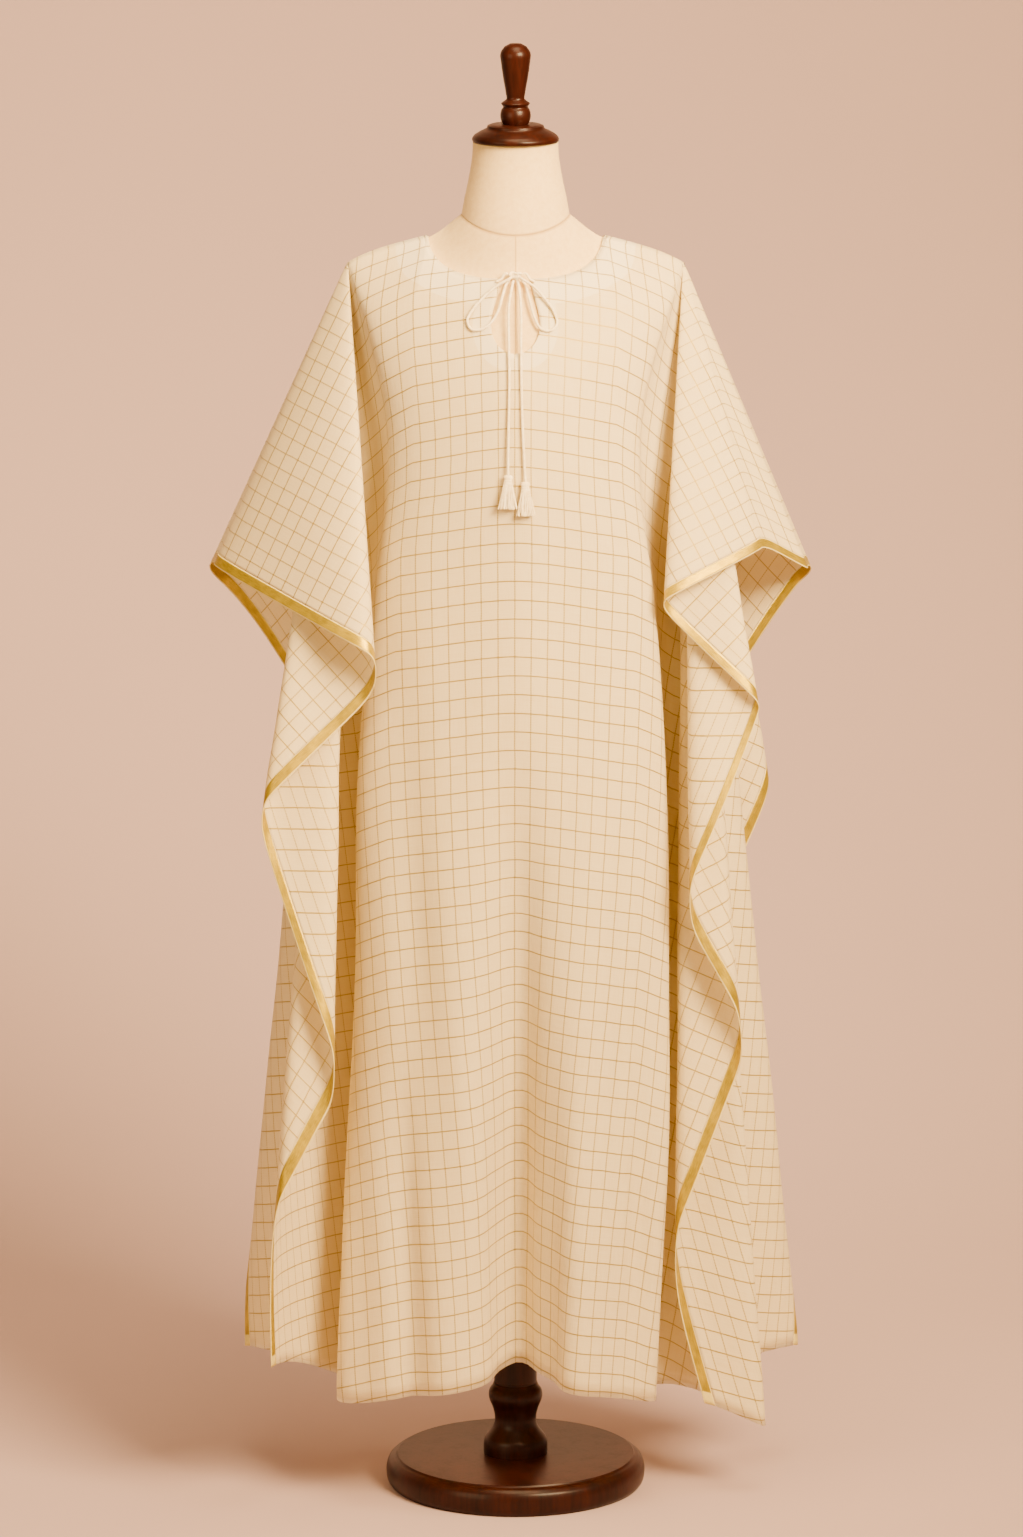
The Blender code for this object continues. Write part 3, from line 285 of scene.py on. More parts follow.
def hermite(p0: Array, m0: Array, p1: Array, m1: Array, t: Array | float) -> Array:
    """A cubic between two places.

    Args:
        p0: The first place.
        m0: The tangent there.
        p1: The last place.
        m1: The tangent there.
        t: Shares of the way from the first place to the last.

    Returns:
        The places at those shares.
    """
    t = np.asarray(t)[..., None]
    a, b = t * t, t * t * t
    return (2 * b - 3 * a + 1) * p0 + (b - 2 * a + t) * m0 + (3 * a - 2 * b) * p1 + (b - a) * m1


def smooth_table(at: Array | float, x: Array, y: Array) -> Array:
    """Reads a table as a smooth curve.

    Args:
        at: Where to read it.
        x: The table's places, rising.
        y: Its values.

    Returns:
        The values at those places.
    """
    slope = np.gradient(y, x)
    i = np.clip(np.searchsorted(x, at, side="right") - 1, 0, len(x) - 2)
    h = x[i + 1] - x[i]
    t = np.clip((at - x[i]) / h, 0.0, 1.0)
    a, b = t * t, t * t * t
    return ((2 * b - 3 * a + 1) * y[i] + (b - 2 * a + t) * h * slope[i]
            + (3 * a - 2 * b) * y[i + 1] + (b - a) * h * slope[i + 1])


def seam_u(v: Array) -> Array:
    """Distance of the side seam from the centre line at the level v."""
    return CUT.shoulder_u + v / math.tan(CUT.seam_angle)


@dataclass
class Wing:
    """The cloth outside the side seam: a cone of straight folds that start at the shoulder point."""

    face: Face
    hand: Hand
    samples: int = 120
    angles: Array = field(init=False)
    path: Array = field(init=False)

    def __post_init__(self) -> None:
        """Lays the folds out along the cloth."""
        folds = WING_FOLDS[(self.face, self.hand)]
        self.slope, self.seam = folds[0].side, folds[-1].side
        self.deepest = max(fold.depth for fold in folds)
        arcs, self.path = self.trace(folds)
        self.angles = arcs / arcs[-1] * CUT.seam_angle

    @property
    def fold_angles(self) -> Array:
        """Each fold's angle in the flat cloth, from the shoulder fold."""
        return self.angles[::self.samples]

    def lines(self, sides: Array, depths: Array) -> Array:
        """Directions from the shoulder point.

        Args:
            sides: Degrees outward from straight down.
            depths: Degrees off the mid plane.

        Returns:
            Unit vectors.
        """
        sides, depths = np.radians(sides), np.radians(depths)
        down = -np.ones(sides.shape)
        out = np.stack([self.hand.value * np.tan(sides), self.face.forward * np.tan(depths), down], -1)
        return out / np.linalg.norm(out, axis=-1)[..., None]

    def trace(self, folds: list[Fold]) -> tuple[Array, Array]:
        """Follows the cloth over its folds.

        Args:
            folds: The folds from the shoulder line to the side seam.

        Returns:
            The arc length at each sample, and its side, depth and reach.
        """
        parts = []
        t = np.linspace(0.0, 1.0, self.samples, endpoint=False)
        for a, b in zip(folds[:-1], folds[1:]):
            ends = []
            for fold in (a, b):
                heading = math.radians(fold.heading)
                ends.append(np.array([fold.side, fold.depth]))
                ends.append(np.array([-math.cos(heading), math.sin(heading)]) * fold.pull)
            reach = a.reach + (b.reach - a.reach) * ease(t)
            parts.append(np.column_stack([hermite(*ends, t), reach]))
        last = folds[-1]
        path = np.vstack(parts + [[last.side, last.depth, last.reach]])
        steps = np.linalg.norm(np.diff(self.lines(path[:, 0], path[:, 1]), axis=0), axis=1)
        return np.concatenate([[0.0], np.cumsum(steps)]), path

    def point(self, u: Array, v: Array) -> Array:
        """Places in space of flat points outside the seam.

        Args:
            u: Distances from the centre line.
            v: Distances below the shoulder fold.

        Returns:
            The points.
        """
        r = np.hypot(u - CUT.shoulder_u, v)
        angle = np.clip(np.arctan2(v, u - CUT.shoulder_u), 0.0, CUT.seam_angle)
        sides, depths, reach = [np.interp(angle, self.angles, self.path[:, k]) for k in range(3)]
        closing = ease((r - CUT.armhole_from) / (CUT.armhole_to - CUT.armhole_from))
        inward = (self.slope - sides) / (self.slope - self.seam)
        depths = depths + CUT.armhole_spread * (1 - closing) * inward * (1 - depths / self.deepest)
        start = np.array([self.hand.value * CUT.shoulder_x, 0.0, CUT.shoulder_z])
        return start + (r * reach)[..., None] * self.lines(sides, depths)


def cubic_weights(t: Array) -> tuple[Array, Array, Array, Array]:
    """Weights of four neighbours for a smooth curve through samples."""
    return (0.5 * (-t + 2 * t ** 2 - t ** 3), 0.5 * (2 - 5 * t ** 2 + 3 * t ** 3),
            0.5 * (t + 4 * t ** 2 - 3 * t ** 3), 0.5 * (t ** 3 - t ** 2))


def beyond(samples: Array, row: Array, col: Array) -> Array:
    """Reads a table, carried on in a straight line past its edges.

    Args:
        samples: The table.
        row: Row numbers.
        col: Column numbers.

    Returns:
        The samples there.
    """
    last_row, last_col = samples.shape[0] - 1, samples.shape[1] - 1
    r, c = np.clip(row, 0, last_row), np.clip(col, 0, last_col)
    r_in, c_in = np.clip(2 * r - row, 0, last_row), np.clip(2 * c - col, 0, last_col)
    return samples[r, c] + (samples[r, c] - samples[r_in, c]) + (samples[r, c] - samples[r, c_in])


def between(samples: Array, i: Array, j: Array) -> Array:
    """Reads a table smoothly between its samples.

    Args:
        samples: The table.
        i: Places down its rows.
        j: Places across its columns.

    Returns:
        The values there.
    """
    i0, j0 = np.floor(i).astype(int), np.floor(j).astype(int)
    total = np.zeros(i.shape)
    for a, down in enumerate(cubic_weights(i - i0)):
        for b, across in enumerate(cubic_weights(j - j0)):
            total += down * across * beyond(samples, i0 + a - 1, j0 + b - 1)
    return total


@dataclass
class Body:
    """Half a panel between the centre line and the side seam, as a loft of plan curves."""

    wing: Wing
    levels: int = 297
    step: float = 0.005
    columns: int = 61
    x: Array = field(init=False)
    y: Array = field(init=False)
    z: Array = field(init=False)
    carried: list[Array] = field(init=False)

    def __post_init__(self) -> None:
        """Hangs the cloth level by level."""
        face, hand = self.wing.face, self.wing.hand
        rows = BODY_LEVELS[(face, hand)]
        at = np.array([row.v for row in rows])
        v = np.arange(self.levels) * self.step
        middle = smooth_table(v, at, np.array([row.middle for row in rows]))
        turn_x = smooth_table(v, at, np.array([row.side_x for row in rows]))
        turn_y = smooth_table(v, at, np.array([row.side_y for row in rows]))
        seam = self.wing.point(seam_u(v), v)
        shares = np.linspace(0.0, 1.0, self.columns)
        self.x = np.zeros((self.levels, self.columns))
        self.y = np.zeros((self.levels, self.columns))
        for k in range(self.levels):
            turn = np.array([turn_x[k], turn_y[k]])
            end = np.array([seam[k, 0] * hand.value, seam[k, 1] * face.forward])
            plan = self.plan(np.array([0.0, middle[k]]), turn, end, v[k])
            run = np.concatenate([[0.0], np.cumsum(np.linalg.norm(np.diff(plan, axis=0), axis=1))])
            self.x[k] = np.interp(shares * run[-1], run, plan[:, 0])
            self.y[k] = np.interp(shares * run[-1], run, plan[:, 1])
        self.x[0], top = self.shoulder(shares * CUT.shoulder_u)
        self.y[0] = 0.0
        self.y *= face.forward
        self.z = self.hang(shares, top)
        self.z += shares ** 4 * (seam[:, 2:] - self.z[:, -1:])

    def plan(self, middle: Array, turn: Array, end: Array, v: float) -> Array:
        """The plan curve of one level, with the skirt's valleys in it.

        Args:
            middle: Its place on the centre line.
            turn: Where it turns back.
            end: Its place at the side seam.
            v: The level.

        Returns:
            Points along it.
        """
        t = np.linspace(0.0, 1.0, 40)
        back = max((middle[1] - turn[1]) * 1.5, 1e-5)
        flank = max((turn[1] - end[1]) * 1.2, 1e-5)
        front = hermite(middle, np.array([turn[0] * 0.95, 0.0]), turn, np.array([0.0, -back]), t)
        rear = hermite(turn, np.array([0.0, -flank]), end, np.array([flank * 0.8, 0.0]), t)
        for valley in SKIRT_VALLEYS[self.wing.face]:
            grow = ease((v - valley.start) / (CUT.length - valley.start)) * valley.depth
            away = (front[:, 0] - valley.x * self.wing.hand.value) / valley.width
            front[:, 1] -= grow * np.exp(-away ** 2)
        return np.vstack([front, rear[1:]])

    def shoulder(self, u: Array) -> tuple[Array, Array]:
        """The shoulder fold: level across the neck, then sloping.

        Args:
            u: Distances from the centre line.

        Returns:
            The fold's X and Z there.
        """
        run = np.clip((u - CUT.neck_u) / (CUT.shoulder_u - CUT.neck_u), 0.0, 1.0)
        x = np.minimum(u, CUT.neck_u) + run * (CUT.shoulder_x - CUT.neck_u)
        return x, CUT.neck_z + (0.75 * run + 0.25 * run ** 4) * (CUT.shoulder_z - CUT.neck_z)

    def hang(self, shares: Array, top: Array) -> Array:
        """Heights at which every column keeps its cloth length.

        Args:
            shares: The columns' places across.
            top: Their heights on the shoulder fold.

        Returns:
            A table of heights.
        """
        z = np.zeros((self.levels, self.columns))
        z[0] = top
        step = self.step * np.hypot(1.0, shares / math.tan(CUT.seam_angle))
        for k in range(1, self.levels):
            moved = np.hypot(self.x[k] - self.x[k - 1], self.y[k] - self.y[k - 1])
            z[k] = z[k - 1] - np.sqrt(np.maximum(step ** 2 - moved ** 2, (0.08 * step) ** 2))
        return z

    def point(self, u: Array, v: Array) -> Array:
        """Places in space of flat points inside the seam.

        Args:
            u: Distances from the centre line.
            v: Distances below the shoulder fold.

        Returns:
            The points.
        """
        i = np.clip(v / self.step, 0, self.levels - 1.001)
        j = np.clip(u / seam_u(v) * (self.columns - 1), -1, self.columns - 1) + 1
        x, y, z = [between(samples, i, j) for samples in self.carried]
        return np.stack([self.wing.hand.value * x, y, z], -1)

    def meet(self, other: "Body") -> None:
        """Carries the tables over the centre line, so that both halves join in one smooth curve.

        Args:
            other: The other half of the same panel.
        """
        self.carried = [np.column_stack([sign * far[:, 1], own]) for sign, own, far in (
            (-1, self.x, other.x), (1, self.y, other.y), (1, self.z, other.z))]


@dataclass
class Drape:
    """Half a panel on the form, from the centre line to the outer edge."""

    face: Face
    hand: Hand
    wing: Wing = field(init=False)
    body: Body = field(init=False)

    def __post_init__(self) -> None:
        """Makes the two parts that the half hangs in."""
        self.wing = Wing(self.face, self.hand)
        self.body = Body(self.wing)

    def point(self, u: Array | float, v: Array | float) -> Array:
        """Places in space of flat points.

        Args:
            u: Distances from the centre line.
            v: Distances below the shoulder fold.

        Returns:
            Points in the middle of the cloth.
        """
        u, v = np.broadcast_arrays(np.asarray(u, float), np.asarray(v, float))
        inside = u <= seam_u(v)
        out = np.where(inside[..., None], self.body.point(u, v), self.wing.point(u, v))
        angle = np.arctan2(v, u - CUT.shoulder_u)
        apart = (CUT.thickness / 2 + CUT.seam_gap) * ease(v / 0.05) * ease(angle / math.radians(30))
        out[..., 1] += self.face.forward * apart
        return out

    def normal(self, u: Array | float, v: Array | float) -> Array:
        """Outward directions of the cloth.

        Args:
            u: Distances from the centre line.
            v: Distances below the shoulder fold.

        Returns:
            Unit vectors.
        """
        e = 2e-4
        u, v = np.broadcast_arrays(np.asarray(u, float), np.asarray(v, float))
        across = self.point(u + e, v) - self.point(u - e, v)
        down = self.point(u, v + e) - self.point(u, np.maximum(v - e, 1e-6))
        out = np.cross(across, down) * self.hand.value * self.face.forward
        along = across * [1.0, 0.0, 1.0]
        flat = np.cross(along, np.array([0.0, 1.0, 0.0]))
        flat *= np.sign(flat[..., 2:3] + 1e-12)
        out = np.where((v < 2 * CUT.seam_gap)[..., None], flat, out)
        return out / np.maximum(np.linalg.norm(out, axis=-1), 1e-12)[..., None]

    def ripple(self, u: Array, v: Array) -> Array:
        """Small soft creases of the hanging cloth, which fade out at the shoulder and near the side seam."""
        across = u * self.hand.value
        soft = np.sin(across * 59 + 1.3 * np.sin(v * 4.1)) + 0.6 * np.sin(across * 97 - v * 3.3 + 1.1)
        soft += 0.6 * np.sin(across * 33 + v * 5.7 + 0.4) + 0.3 * np.sin(v * 19 + across * 23)
        calm = ease((v - 0.20) / 0.30) * (0.25 + 0.75 * ease(np.abs(u - seam_u(v)) / 0.05))
        size = np.where(u <= seam_u(v), 0.0006 + 0.0016 * ease((v - 0.5) / 0.8), 0.00040)
        return soft * calm * size

    def laid(self, u: Array, v: Array, lift: float = 0.0) -> Array:
        """Places on the creased cloth.

        Args:
            u: Distances from the centre line.
            v: Distances below the shoulder fold.
            lift: How far they stand out from the cloth's middle.

        Returns:
            The points.
        """
        return self.point(u, v) + self.normal(u, v) * (lift + self.ripple(u, v))[..., None]


def tone(code: str) -> tuple[float, float, float, float]:
    """A hex colour in sRGB as linear values.

    Args:
        code: Six hex digits after a hash.

    Returns:
        Red, green, blue and alpha.
    """
    parts = [int(code[k:k + 2], 16) / 255 for k in (1, 3, 5)]
    linear = [c / 12.92 if c <= 0.04045 else ((c + 0.055) / 1.055) ** 2.4 for c in parts]
    return (linear[0], linear[1], linear[2], 1.0)


def add_node(tree: bpy.types.NodeTree, kind: str, inputs: dict | None = None, **settings) -> bpy.types.Node:
    """Adds a node with its settings and links.

    Args:
        tree: The material's node tree.
        kind: The node's type.
        inputs: Values or sockets for its inputs, by name or number.
        **settings: Its own settings.

    Returns:
        The node.
    """
    node = tree.nodes.new(kind)
    for name, value in settings.items():
        setattr(node, name, value)
    for key, value in (inputs or {}).items():
        if isinstance(value, bpy.types.NodeSocket):
            tree.links.new(value, node.inputs[key])
        else:
            node.inputs[key].default_value = value
    return node


@dataclass(frozen=True)
class Finish:
    """A material, as the real surface is made."""

    name: str

    def material(self) -> bpy.types.Material:
        """Makes the material, or gives the one made before."""
        made = bpy.data.materials.get(self.name)
        if made is None:
            made = bpy.data.materials.new(self.name)
            made.use_nodes = True
            self.dress(made.node_tree, made.node_tree.nodes["Principled BSDF"])
        return made

    def dress(self, tree: bpy.types.NodeTree, shader: bpy.types.Node) -> None:
        """Sets the shader and links its pattern.

        Args:
            tree: The material's node tree.
            shader: Its Principled shader.
        """
        raise NotImplementedError

    def let_through(self, tree: bpy.types.NodeTree, shader: bpy.types.Node, colour: object,
                    share: object) -> None:
        """Lets part of the light through a thin cloth.

        Args:
            tree: The material's node tree.
            shader: Its Principled shader.
            colour: The colour of the light that comes through, as a value or a socket.
            share: How much of it does, as a value or a socket.
        """
        through = add_node(tree, "ShaderNodeBsdfTranslucent", {"Color": colour})
        mixed = add_node(tree, "ShaderNodeMixShader", {0: share, 1: shader.outputs[0], 2: through.outputs[0]})
        tree.links.new(mixed.outputs[0], tree.nodes["Material Output"].inputs["Surface"])


@dataclass(frozen=True)
class CheckedVoile(Finish):
    """Cotton voile, plain woven in natural white, with gold-wrapped threads as checks.

    It is matt with a soft nap, lets some light through, and its gold threads glint.
    """

    ground: str = "#faf0c6"
    shade: str = "#f4e5b2"
    gold: str = "#a89012"
    backed: str = "#fcf4d2"
    across: float = 0.0195
    down: float = 0.0230
    thread: float = 0.00080
    hem: float = 0.0045
    edge_stitch: float = 0.0016
    wander: float = 0.0016
    through: float = 0.38

    def line(self, tree: bpy.types.NodeTree, place: bpy.types.NodeSocket,
             spacing: float) -> bpy.types.NodeSocket:
        """A gold thread at every spacing.

        Args:
            tree: The material's node tree.
            place: The coordinate across the threads, in metres.
            spacing: From one thread to the next.

        Returns:
            1 on a thread and 0 off it.
        """
        away = add_node(tree, "ShaderNodeMath", {0: place, 1: spacing / 2}, operation="PINGPONG")
        edge = add_node(tree, "ShaderNodeMapRange", {
            "Value": away.outputs[0], "From Min": self.thread * 0.55, "From Max": self.thread * 1.15,
            "To Min": 1.0, "To Max": 0.0}, interpolation_type="SMOOTHSTEP")
        return edge.outputs[0]

    def dress(self, tree: bpy.types.NodeTree, shader: bpy.types.Node) -> None:
        """Draws the checks, slubs and hems of the voile."""
        flat = add_node(tree, "ShaderNodeUVMap", uv_map="cut")
        # Handloom threads wander by a few tenths of a millimetre.
        wander = add_node(tree, "ShaderNodeTexNoise", {
            "Vector": flat.outputs[0], "Scale": 24.0, "Detail": 2.0})
        moved = add_node(tree, "ShaderNodeVectorMath", {
            0: wander.outputs["Color"], 1: (self.wander, self.wander, 0.0), 2: flat.outputs[0]},
            operation="MULTIPLY_ADD")
        place = add_node(tree, "ShaderNodeSeparateXYZ", {0: moved.outputs[0]})
        warp = self.line(tree, place.outputs["X"], self.across)
        weft = self.line(tree, place.outputs["Y"], self.down)
        # The gold warp dips under the cotton picks, so it shows as short dashes. They are drawn 3 mm apart,
        # coarser than the real picks, because those are too fine to show.
        dash = add_node(tree, "ShaderNodeMath", {0: place.outputs["Y"], 1: 0.0015}, operation="PINGPONG")
        floats = add_node(tree, "ShaderNodeMapRange", {
            "Value": dash.outputs[0], "From Min": 0.0, "From Max": 0.0013, "To Min": 0.35, "To Max": 1.0})
        dotted = add_node(tree, "ShaderNodeMath", {0: warp, 1: floats.outputs[0]}, operation="MULTIPLY")
        gold = add_node(tree, "ShaderNodeMath", {0: dotted.outputs[0], 1: weft}, operation="MAXIMUM")
        # Slubs: thick places of the yarn, about 0.8 mm wide and 30 mm long, in both directions.
        slubs = []
        for scale in ((1300.0, 34.0, 1.0), (34.0, 1300.0, 1.0)):
            run = add_node(tree, "ShaderNodeVectorMath", {0: flat.outputs[0], 1: scale}, operation="MULTIPLY")
            slubs.append(add_node(tree, "ShaderNodeTexNoise", {
                "Vector": run.outputs[0], "Scale": 1.0, "Detail": 1.0}).outputs["Fac"])
        yarn = add_node(tree, "ShaderNodeMath", {0: slubs[0], 1: slubs[1]}, operation="ADD")
        tint = add_node(tree, "ShaderNodeMapRange", {
            "Value": yarn.outputs[0], "From Min": 0.75, "From Max": 1.25})
        ground = add_node(tree, "ShaderNodeMix", {
            0: tint.outputs[0], 6: tone(self.shade), 7: tone(self.ground)}, data_type="RGBA")
        # Where the facing or the turned hem lies behind, the cloth is double, so it looks lighter and denser.
        facing = add_node(tree, "ShaderNodeAttribute", attribute_name="facing_share")
        hem = add_node(tree, "ShaderNodeAttribute", attribute_name="hem_away")
        faced = add_node(tree, "ShaderNodeMapRange", {
            "Value": facing.outputs["Fac"], "From Min": 0.985, "From Max": 1.015, "To Min": 1.0,
            "To Max": 0.0})
        hemmed = add_node(tree, "ShaderNodeMapRange", {
            "Value": hem.outputs["Fac"], "From Min": self.hem, "From Max": self.hem + 0.0006, "To Min": 1.0,
            "To Max": 0.0})
        backed = add_node(tree, "ShaderNodeMath", {
            0: faced.outputs[0], 1: hemmed.outputs[0]}, operation="MAXIMUM")
        doubled = add_node(tree, "ShaderNodeMix", {
            0: backed.outputs[0], 6: ground.outputs[2], 7: tone(self.backed)}, data_type="RGBA")
        # Stitches run 4 mm above the hem's fold and 1.6 mm outside the neckline.
        seams = []
        for away, place_at, wide in ((hem.outputs["Fac"], self.hem - 0.0004, 0.0008),
                                     (facing.outputs["Fac"], self.edge_stitch / CUT.facing_width, 0.022)):
            off = add_node(tree, "ShaderNodeMath", {0: away, 1: place_at}, operation="SUBTRACT")
            near = add_node(tree, "ShaderNodeMath", {0: off.outputs[0]}, operation="ABSOLUTE")
            seams.append(add_node(tree, "ShaderNodeMapRange", {
                "Value": near.outputs[0], "From Min": 0.0, "From Max": wide, "To Min": 1.0, "To Max": 0.0}))
        sewn = add_node(tree, "ShaderNodeMath", {0: seams[0].outputs[0], 1: seams[1].outputs[0]},
                        operation="MAXIMUM")
        faint = add_node(tree, "ShaderNodeMath", {0: sewn.outputs[0], 1: 0.6}, operation="MULTIPLY")
        seamed = add_node(tree, "ShaderNodeMix", {
            0: faint.outputs[0], 6: doubled.outputs[2], 7: tone(self.shade)}, data_type="RGBA")
        coloured = add_node(tree, "ShaderNodeMix", {
            0: gold.outputs[0], 6: seamed.outputs[2], 7: tone(self.gold)}, data_type="RGBA")
        tree.links.new(coloured.outputs[2], shader.inputs["Base Color"])
        gloss = add_node(tree, "ShaderNodeMapRange", {
            "Value": gold.outputs[0], "To Min": 0.86, "To Max": 0.40})
        tree.links.new(gloss.outputs[0], shader.inputs["Roughness"])
        metal = add_node(tree, "ShaderNodeMath", {0: gold.outputs[0], 1: 0.45}, operation="MULTIPLY")
        tree.links.new(metal.outputs[0], shader.inputs["Metallic"])
        shader.inputs["Sheen Weight"].default_value = 0.18
        shader.inputs["Specular IOR Level"].default_value = 0.30
        raised = add_node(tree, "ShaderNodeMath", {0: gold.outputs[0], 1: 1.4, 2: yarn.outputs[0]},
                          operation="MULTIPLY_ADD")
        dented = add_node(tree, "ShaderNodeMath", {0: sewn.outputs[0], 1: -2.5, 2: raised.outputs[0]},
                          operation="MULTIPLY_ADD")
        bump = add_node(tree, "ShaderNodeBump", {
            "Strength": 0.35, "Distance": 0.0003, "Height": dented.outputs[0]})
        tree.links.new(bump.outputs[0], shader.inputs["Normal"])
        share = add_node(tree, "ShaderNodeMapRange", {
            "Value": backed.outputs[0], "To Min": self.through, "To Max": self.through * 0.85})
        self.let_through(tree, shader, tone(self.ground), share.outputs[0])


@dataclass(frozen=True)
class PlainVoile(Finish):
    """The same cotton voile without gold threads, for the neck facings: matt and a little fuzzy."""

    ground: str = "#fbf2cc"
    shade: str = "#f4e6b8"

    def dress(self, tree: bpy.types.NodeTree, shader: bpy.types.Node) -> None:
        """Draws the yarns of the voile."""
        flat = add_node(tree, "ShaderNodeUVMap", uv_map="cut")
        # Yarns 0.4 mm apart are too fine to show, so they are drawn 1.2 mm apart.
        warp = add_node(tree, "ShaderNodeTexWave", {
            "Vector": flat.outputs[0], "Scale": 260.0, "Distortion": 1.5}, bands_direction="X")
        weft = add_node(tree, "ShaderNodeTexWave", {
            "Vector": flat.outputs[0], "Scale": 260.0, "Distortion": 1.5}, bands_direction="Y")
        weave = add_node(tree, "ShaderNodeMath", {
            0: warp.outputs["Fac"], 1: weft.outputs["Fac"]}, operation="MULTIPLY")
        tinted = add_node(tree, "ShaderNodeMix", {
            0: weave.outputs[0], 6: tone(self.shade), 7: tone(self.ground)}, data_type="RGBA")
        tree.links.new(tinted.outputs[2], shader.inputs["Base Color"])
        shader.inputs["Roughness"].default_value = 0.88
        shader.inputs["Sheen Weight"].default_value = 0.15
        bump = add_node(tree, "ShaderNodeBump", {
            "Strength": 0.3, "Distance": 0.0002, "Height": weave.outputs[0]})
        tree.links.new(bump.outputs[0], shader.inputs["Normal"])
        self.let_through(tree, shader, tone(self.ground), 0.25)


@dataclass(frozen=True)
class WovenGold(Finish):
    """A band of gold-wrapped threads woven close on cotton warps, with a cream selvage.

    Its colour is painted brighter along its ribs, a painted sheen like satin's, and darker in the furrows
    between them as painted shade.
    """

    bright: str = "#ccb000"
    deep: str = "#8c7800"
    selvage: str = "#eadb8c"
    turned: str = "#e6d684"
    width: float = CUT.band
    length: float = CUT.corner_length

    def dress(self, tree: bpy.types.NodeTree, shader: bpy.types.Node) -> None:
        """Draws the ribs, selvage and turned end. The UV map's X is the distance from the outer edge."""
        flat = add_node(tree, "ShaderNodeUVMap", uv_map="cut")
        place = add_node(tree, "ShaderNodeSeparateXYZ", {0: flat.outputs[0]})
        # Picks 0.35 mm apart are drawn 1.3 mm apart so that they show.
        ribs = add_node(tree, "ShaderNodeMath", {0: place.outputs["Y"], 1: 0.00065}, operation="PINGPONG")
        rib = add_node(tree, "ShaderNodeMapRange", {"Value": ribs.outputs[0], "From Max": 0.00065})
        # The cotton warps bind the picks in broken lines along the band, about 0.7 mm apart.
        run = add_node(tree, "ShaderNodeVectorMath", {0: flat.outputs[0], 1: (1500.0, 90.0, 1.0)},
                       operation="MULTIPLY")
        streak = add_node(tree, "ShaderNodeTexNoise", {"Vector": run.outputs[0], "Scale": 1.0, "Detail": 2.0})
        # Noise patches make the gold brighter or darker at random.
        patch = add_node(tree, "ShaderNodeTexNoise", {
            "Vector": flat.outputs[0], "Scale": 55.0, "Detail": 2.0})
        streaks_and_patches = add_node(tree, "ShaderNodeMath", {
            0: streak.outputs["Fac"], 1: patch.outputs["Fac"]}, operation="ADD")
        # The colour runs from the deep to the bright gold: brighter on the ribs as a painted sheen, darker in
        # the furrows as painted shade, and brighter or darker along the streaks and in the noise patches.
        mixed = add_node(tree, "ShaderNodeMath", {0: rib.outputs[0], 1: 0.35, 2: streaks_and_patches.outputs[0]},
                         operation="MULTIPLY_ADD")
        light = add_node(tree, "ShaderNodeMapRange", {
            "Value": mixed.outputs[0], "From Min": 0.75, "From Max": 1.45})
        gold = add_node(tree, "ShaderNodeMix", {
            0: light.outputs[0], 6: tone(self.deep), 7: tone(self.bright)}, data_type="RGBA")
        outer = add_node(tree, "ShaderNodeMapRange", {
            "Value": place.outputs["X"], "From Min": 0.0012, "From Max": 0.0019, "To Min": 1.0,
            "To Max": 0.0})
        inner = add_node(tree, "ShaderNodeMapRange", {
            "Value": place.outputs["X"], "From Min": self.width - 0.0011, "From Max": self.width - 0.0005})
        plain = add_node(tree, "ShaderNodeMath", {
            0: outer.outputs[0], 1: inner.outputs[0]}, operation="MAXIMUM")
        edged = add_node(tree, "ShaderNodeMix", {
            0: plain.outputs[0], 6: gold.outputs[2], 7: tone(self.selvage)}, data_type="RGBA")
        # The last 14 mm are turned up at the hem and show the band's paler back.
        end = add_node(tree, "ShaderNodeMapRange", {
            "Value": place.outputs["Y"], "From Min": self.length - 0.0145, "From Max": self.length - 0.0135})
        part = add_node(tree, "ShaderNodeMath", {0: end.outputs[0], 1: 0.75}, operation="MULTIPLY")
        ended = add_node(tree, "ShaderNodeMix", {
            0: part.outputs[0], 6: edged.outputs[2], 7: tone(self.turned)}, data_type="RGBA")
        tree.links.new(ended.outputs[2], shader.inputs["Base Color"])
        cotton = add_node(tree, "ShaderNodeMath", {
            0: plain.outputs[0], 1: part.outputs[0]}, operation="MAXIMUM")
        metal = add_node(tree, "ShaderNodeMapRange", {
            "Value": cotton.outputs[0], "To Min": 0.60, "To Max": 0.0})
        tree.links.new(metal.outputs[0], shader.inputs["Metallic"])
        gloss = add_node(tree, "ShaderNodeMapRange", {
            "Value": cotton.outputs[0], "To Min": 0.40, "To Max": 0.80})
        tree.links.new(gloss.outputs[0], shader.inputs["Roughness"])
        bump = add_node(tree, "ShaderNodeBump", {
            "Strength": 0.5, "Distance": 0.0003, "Height": mixed.outputs[0]})
        tree.links.new(bump.outputs[0], shader.inputs["Normal"])


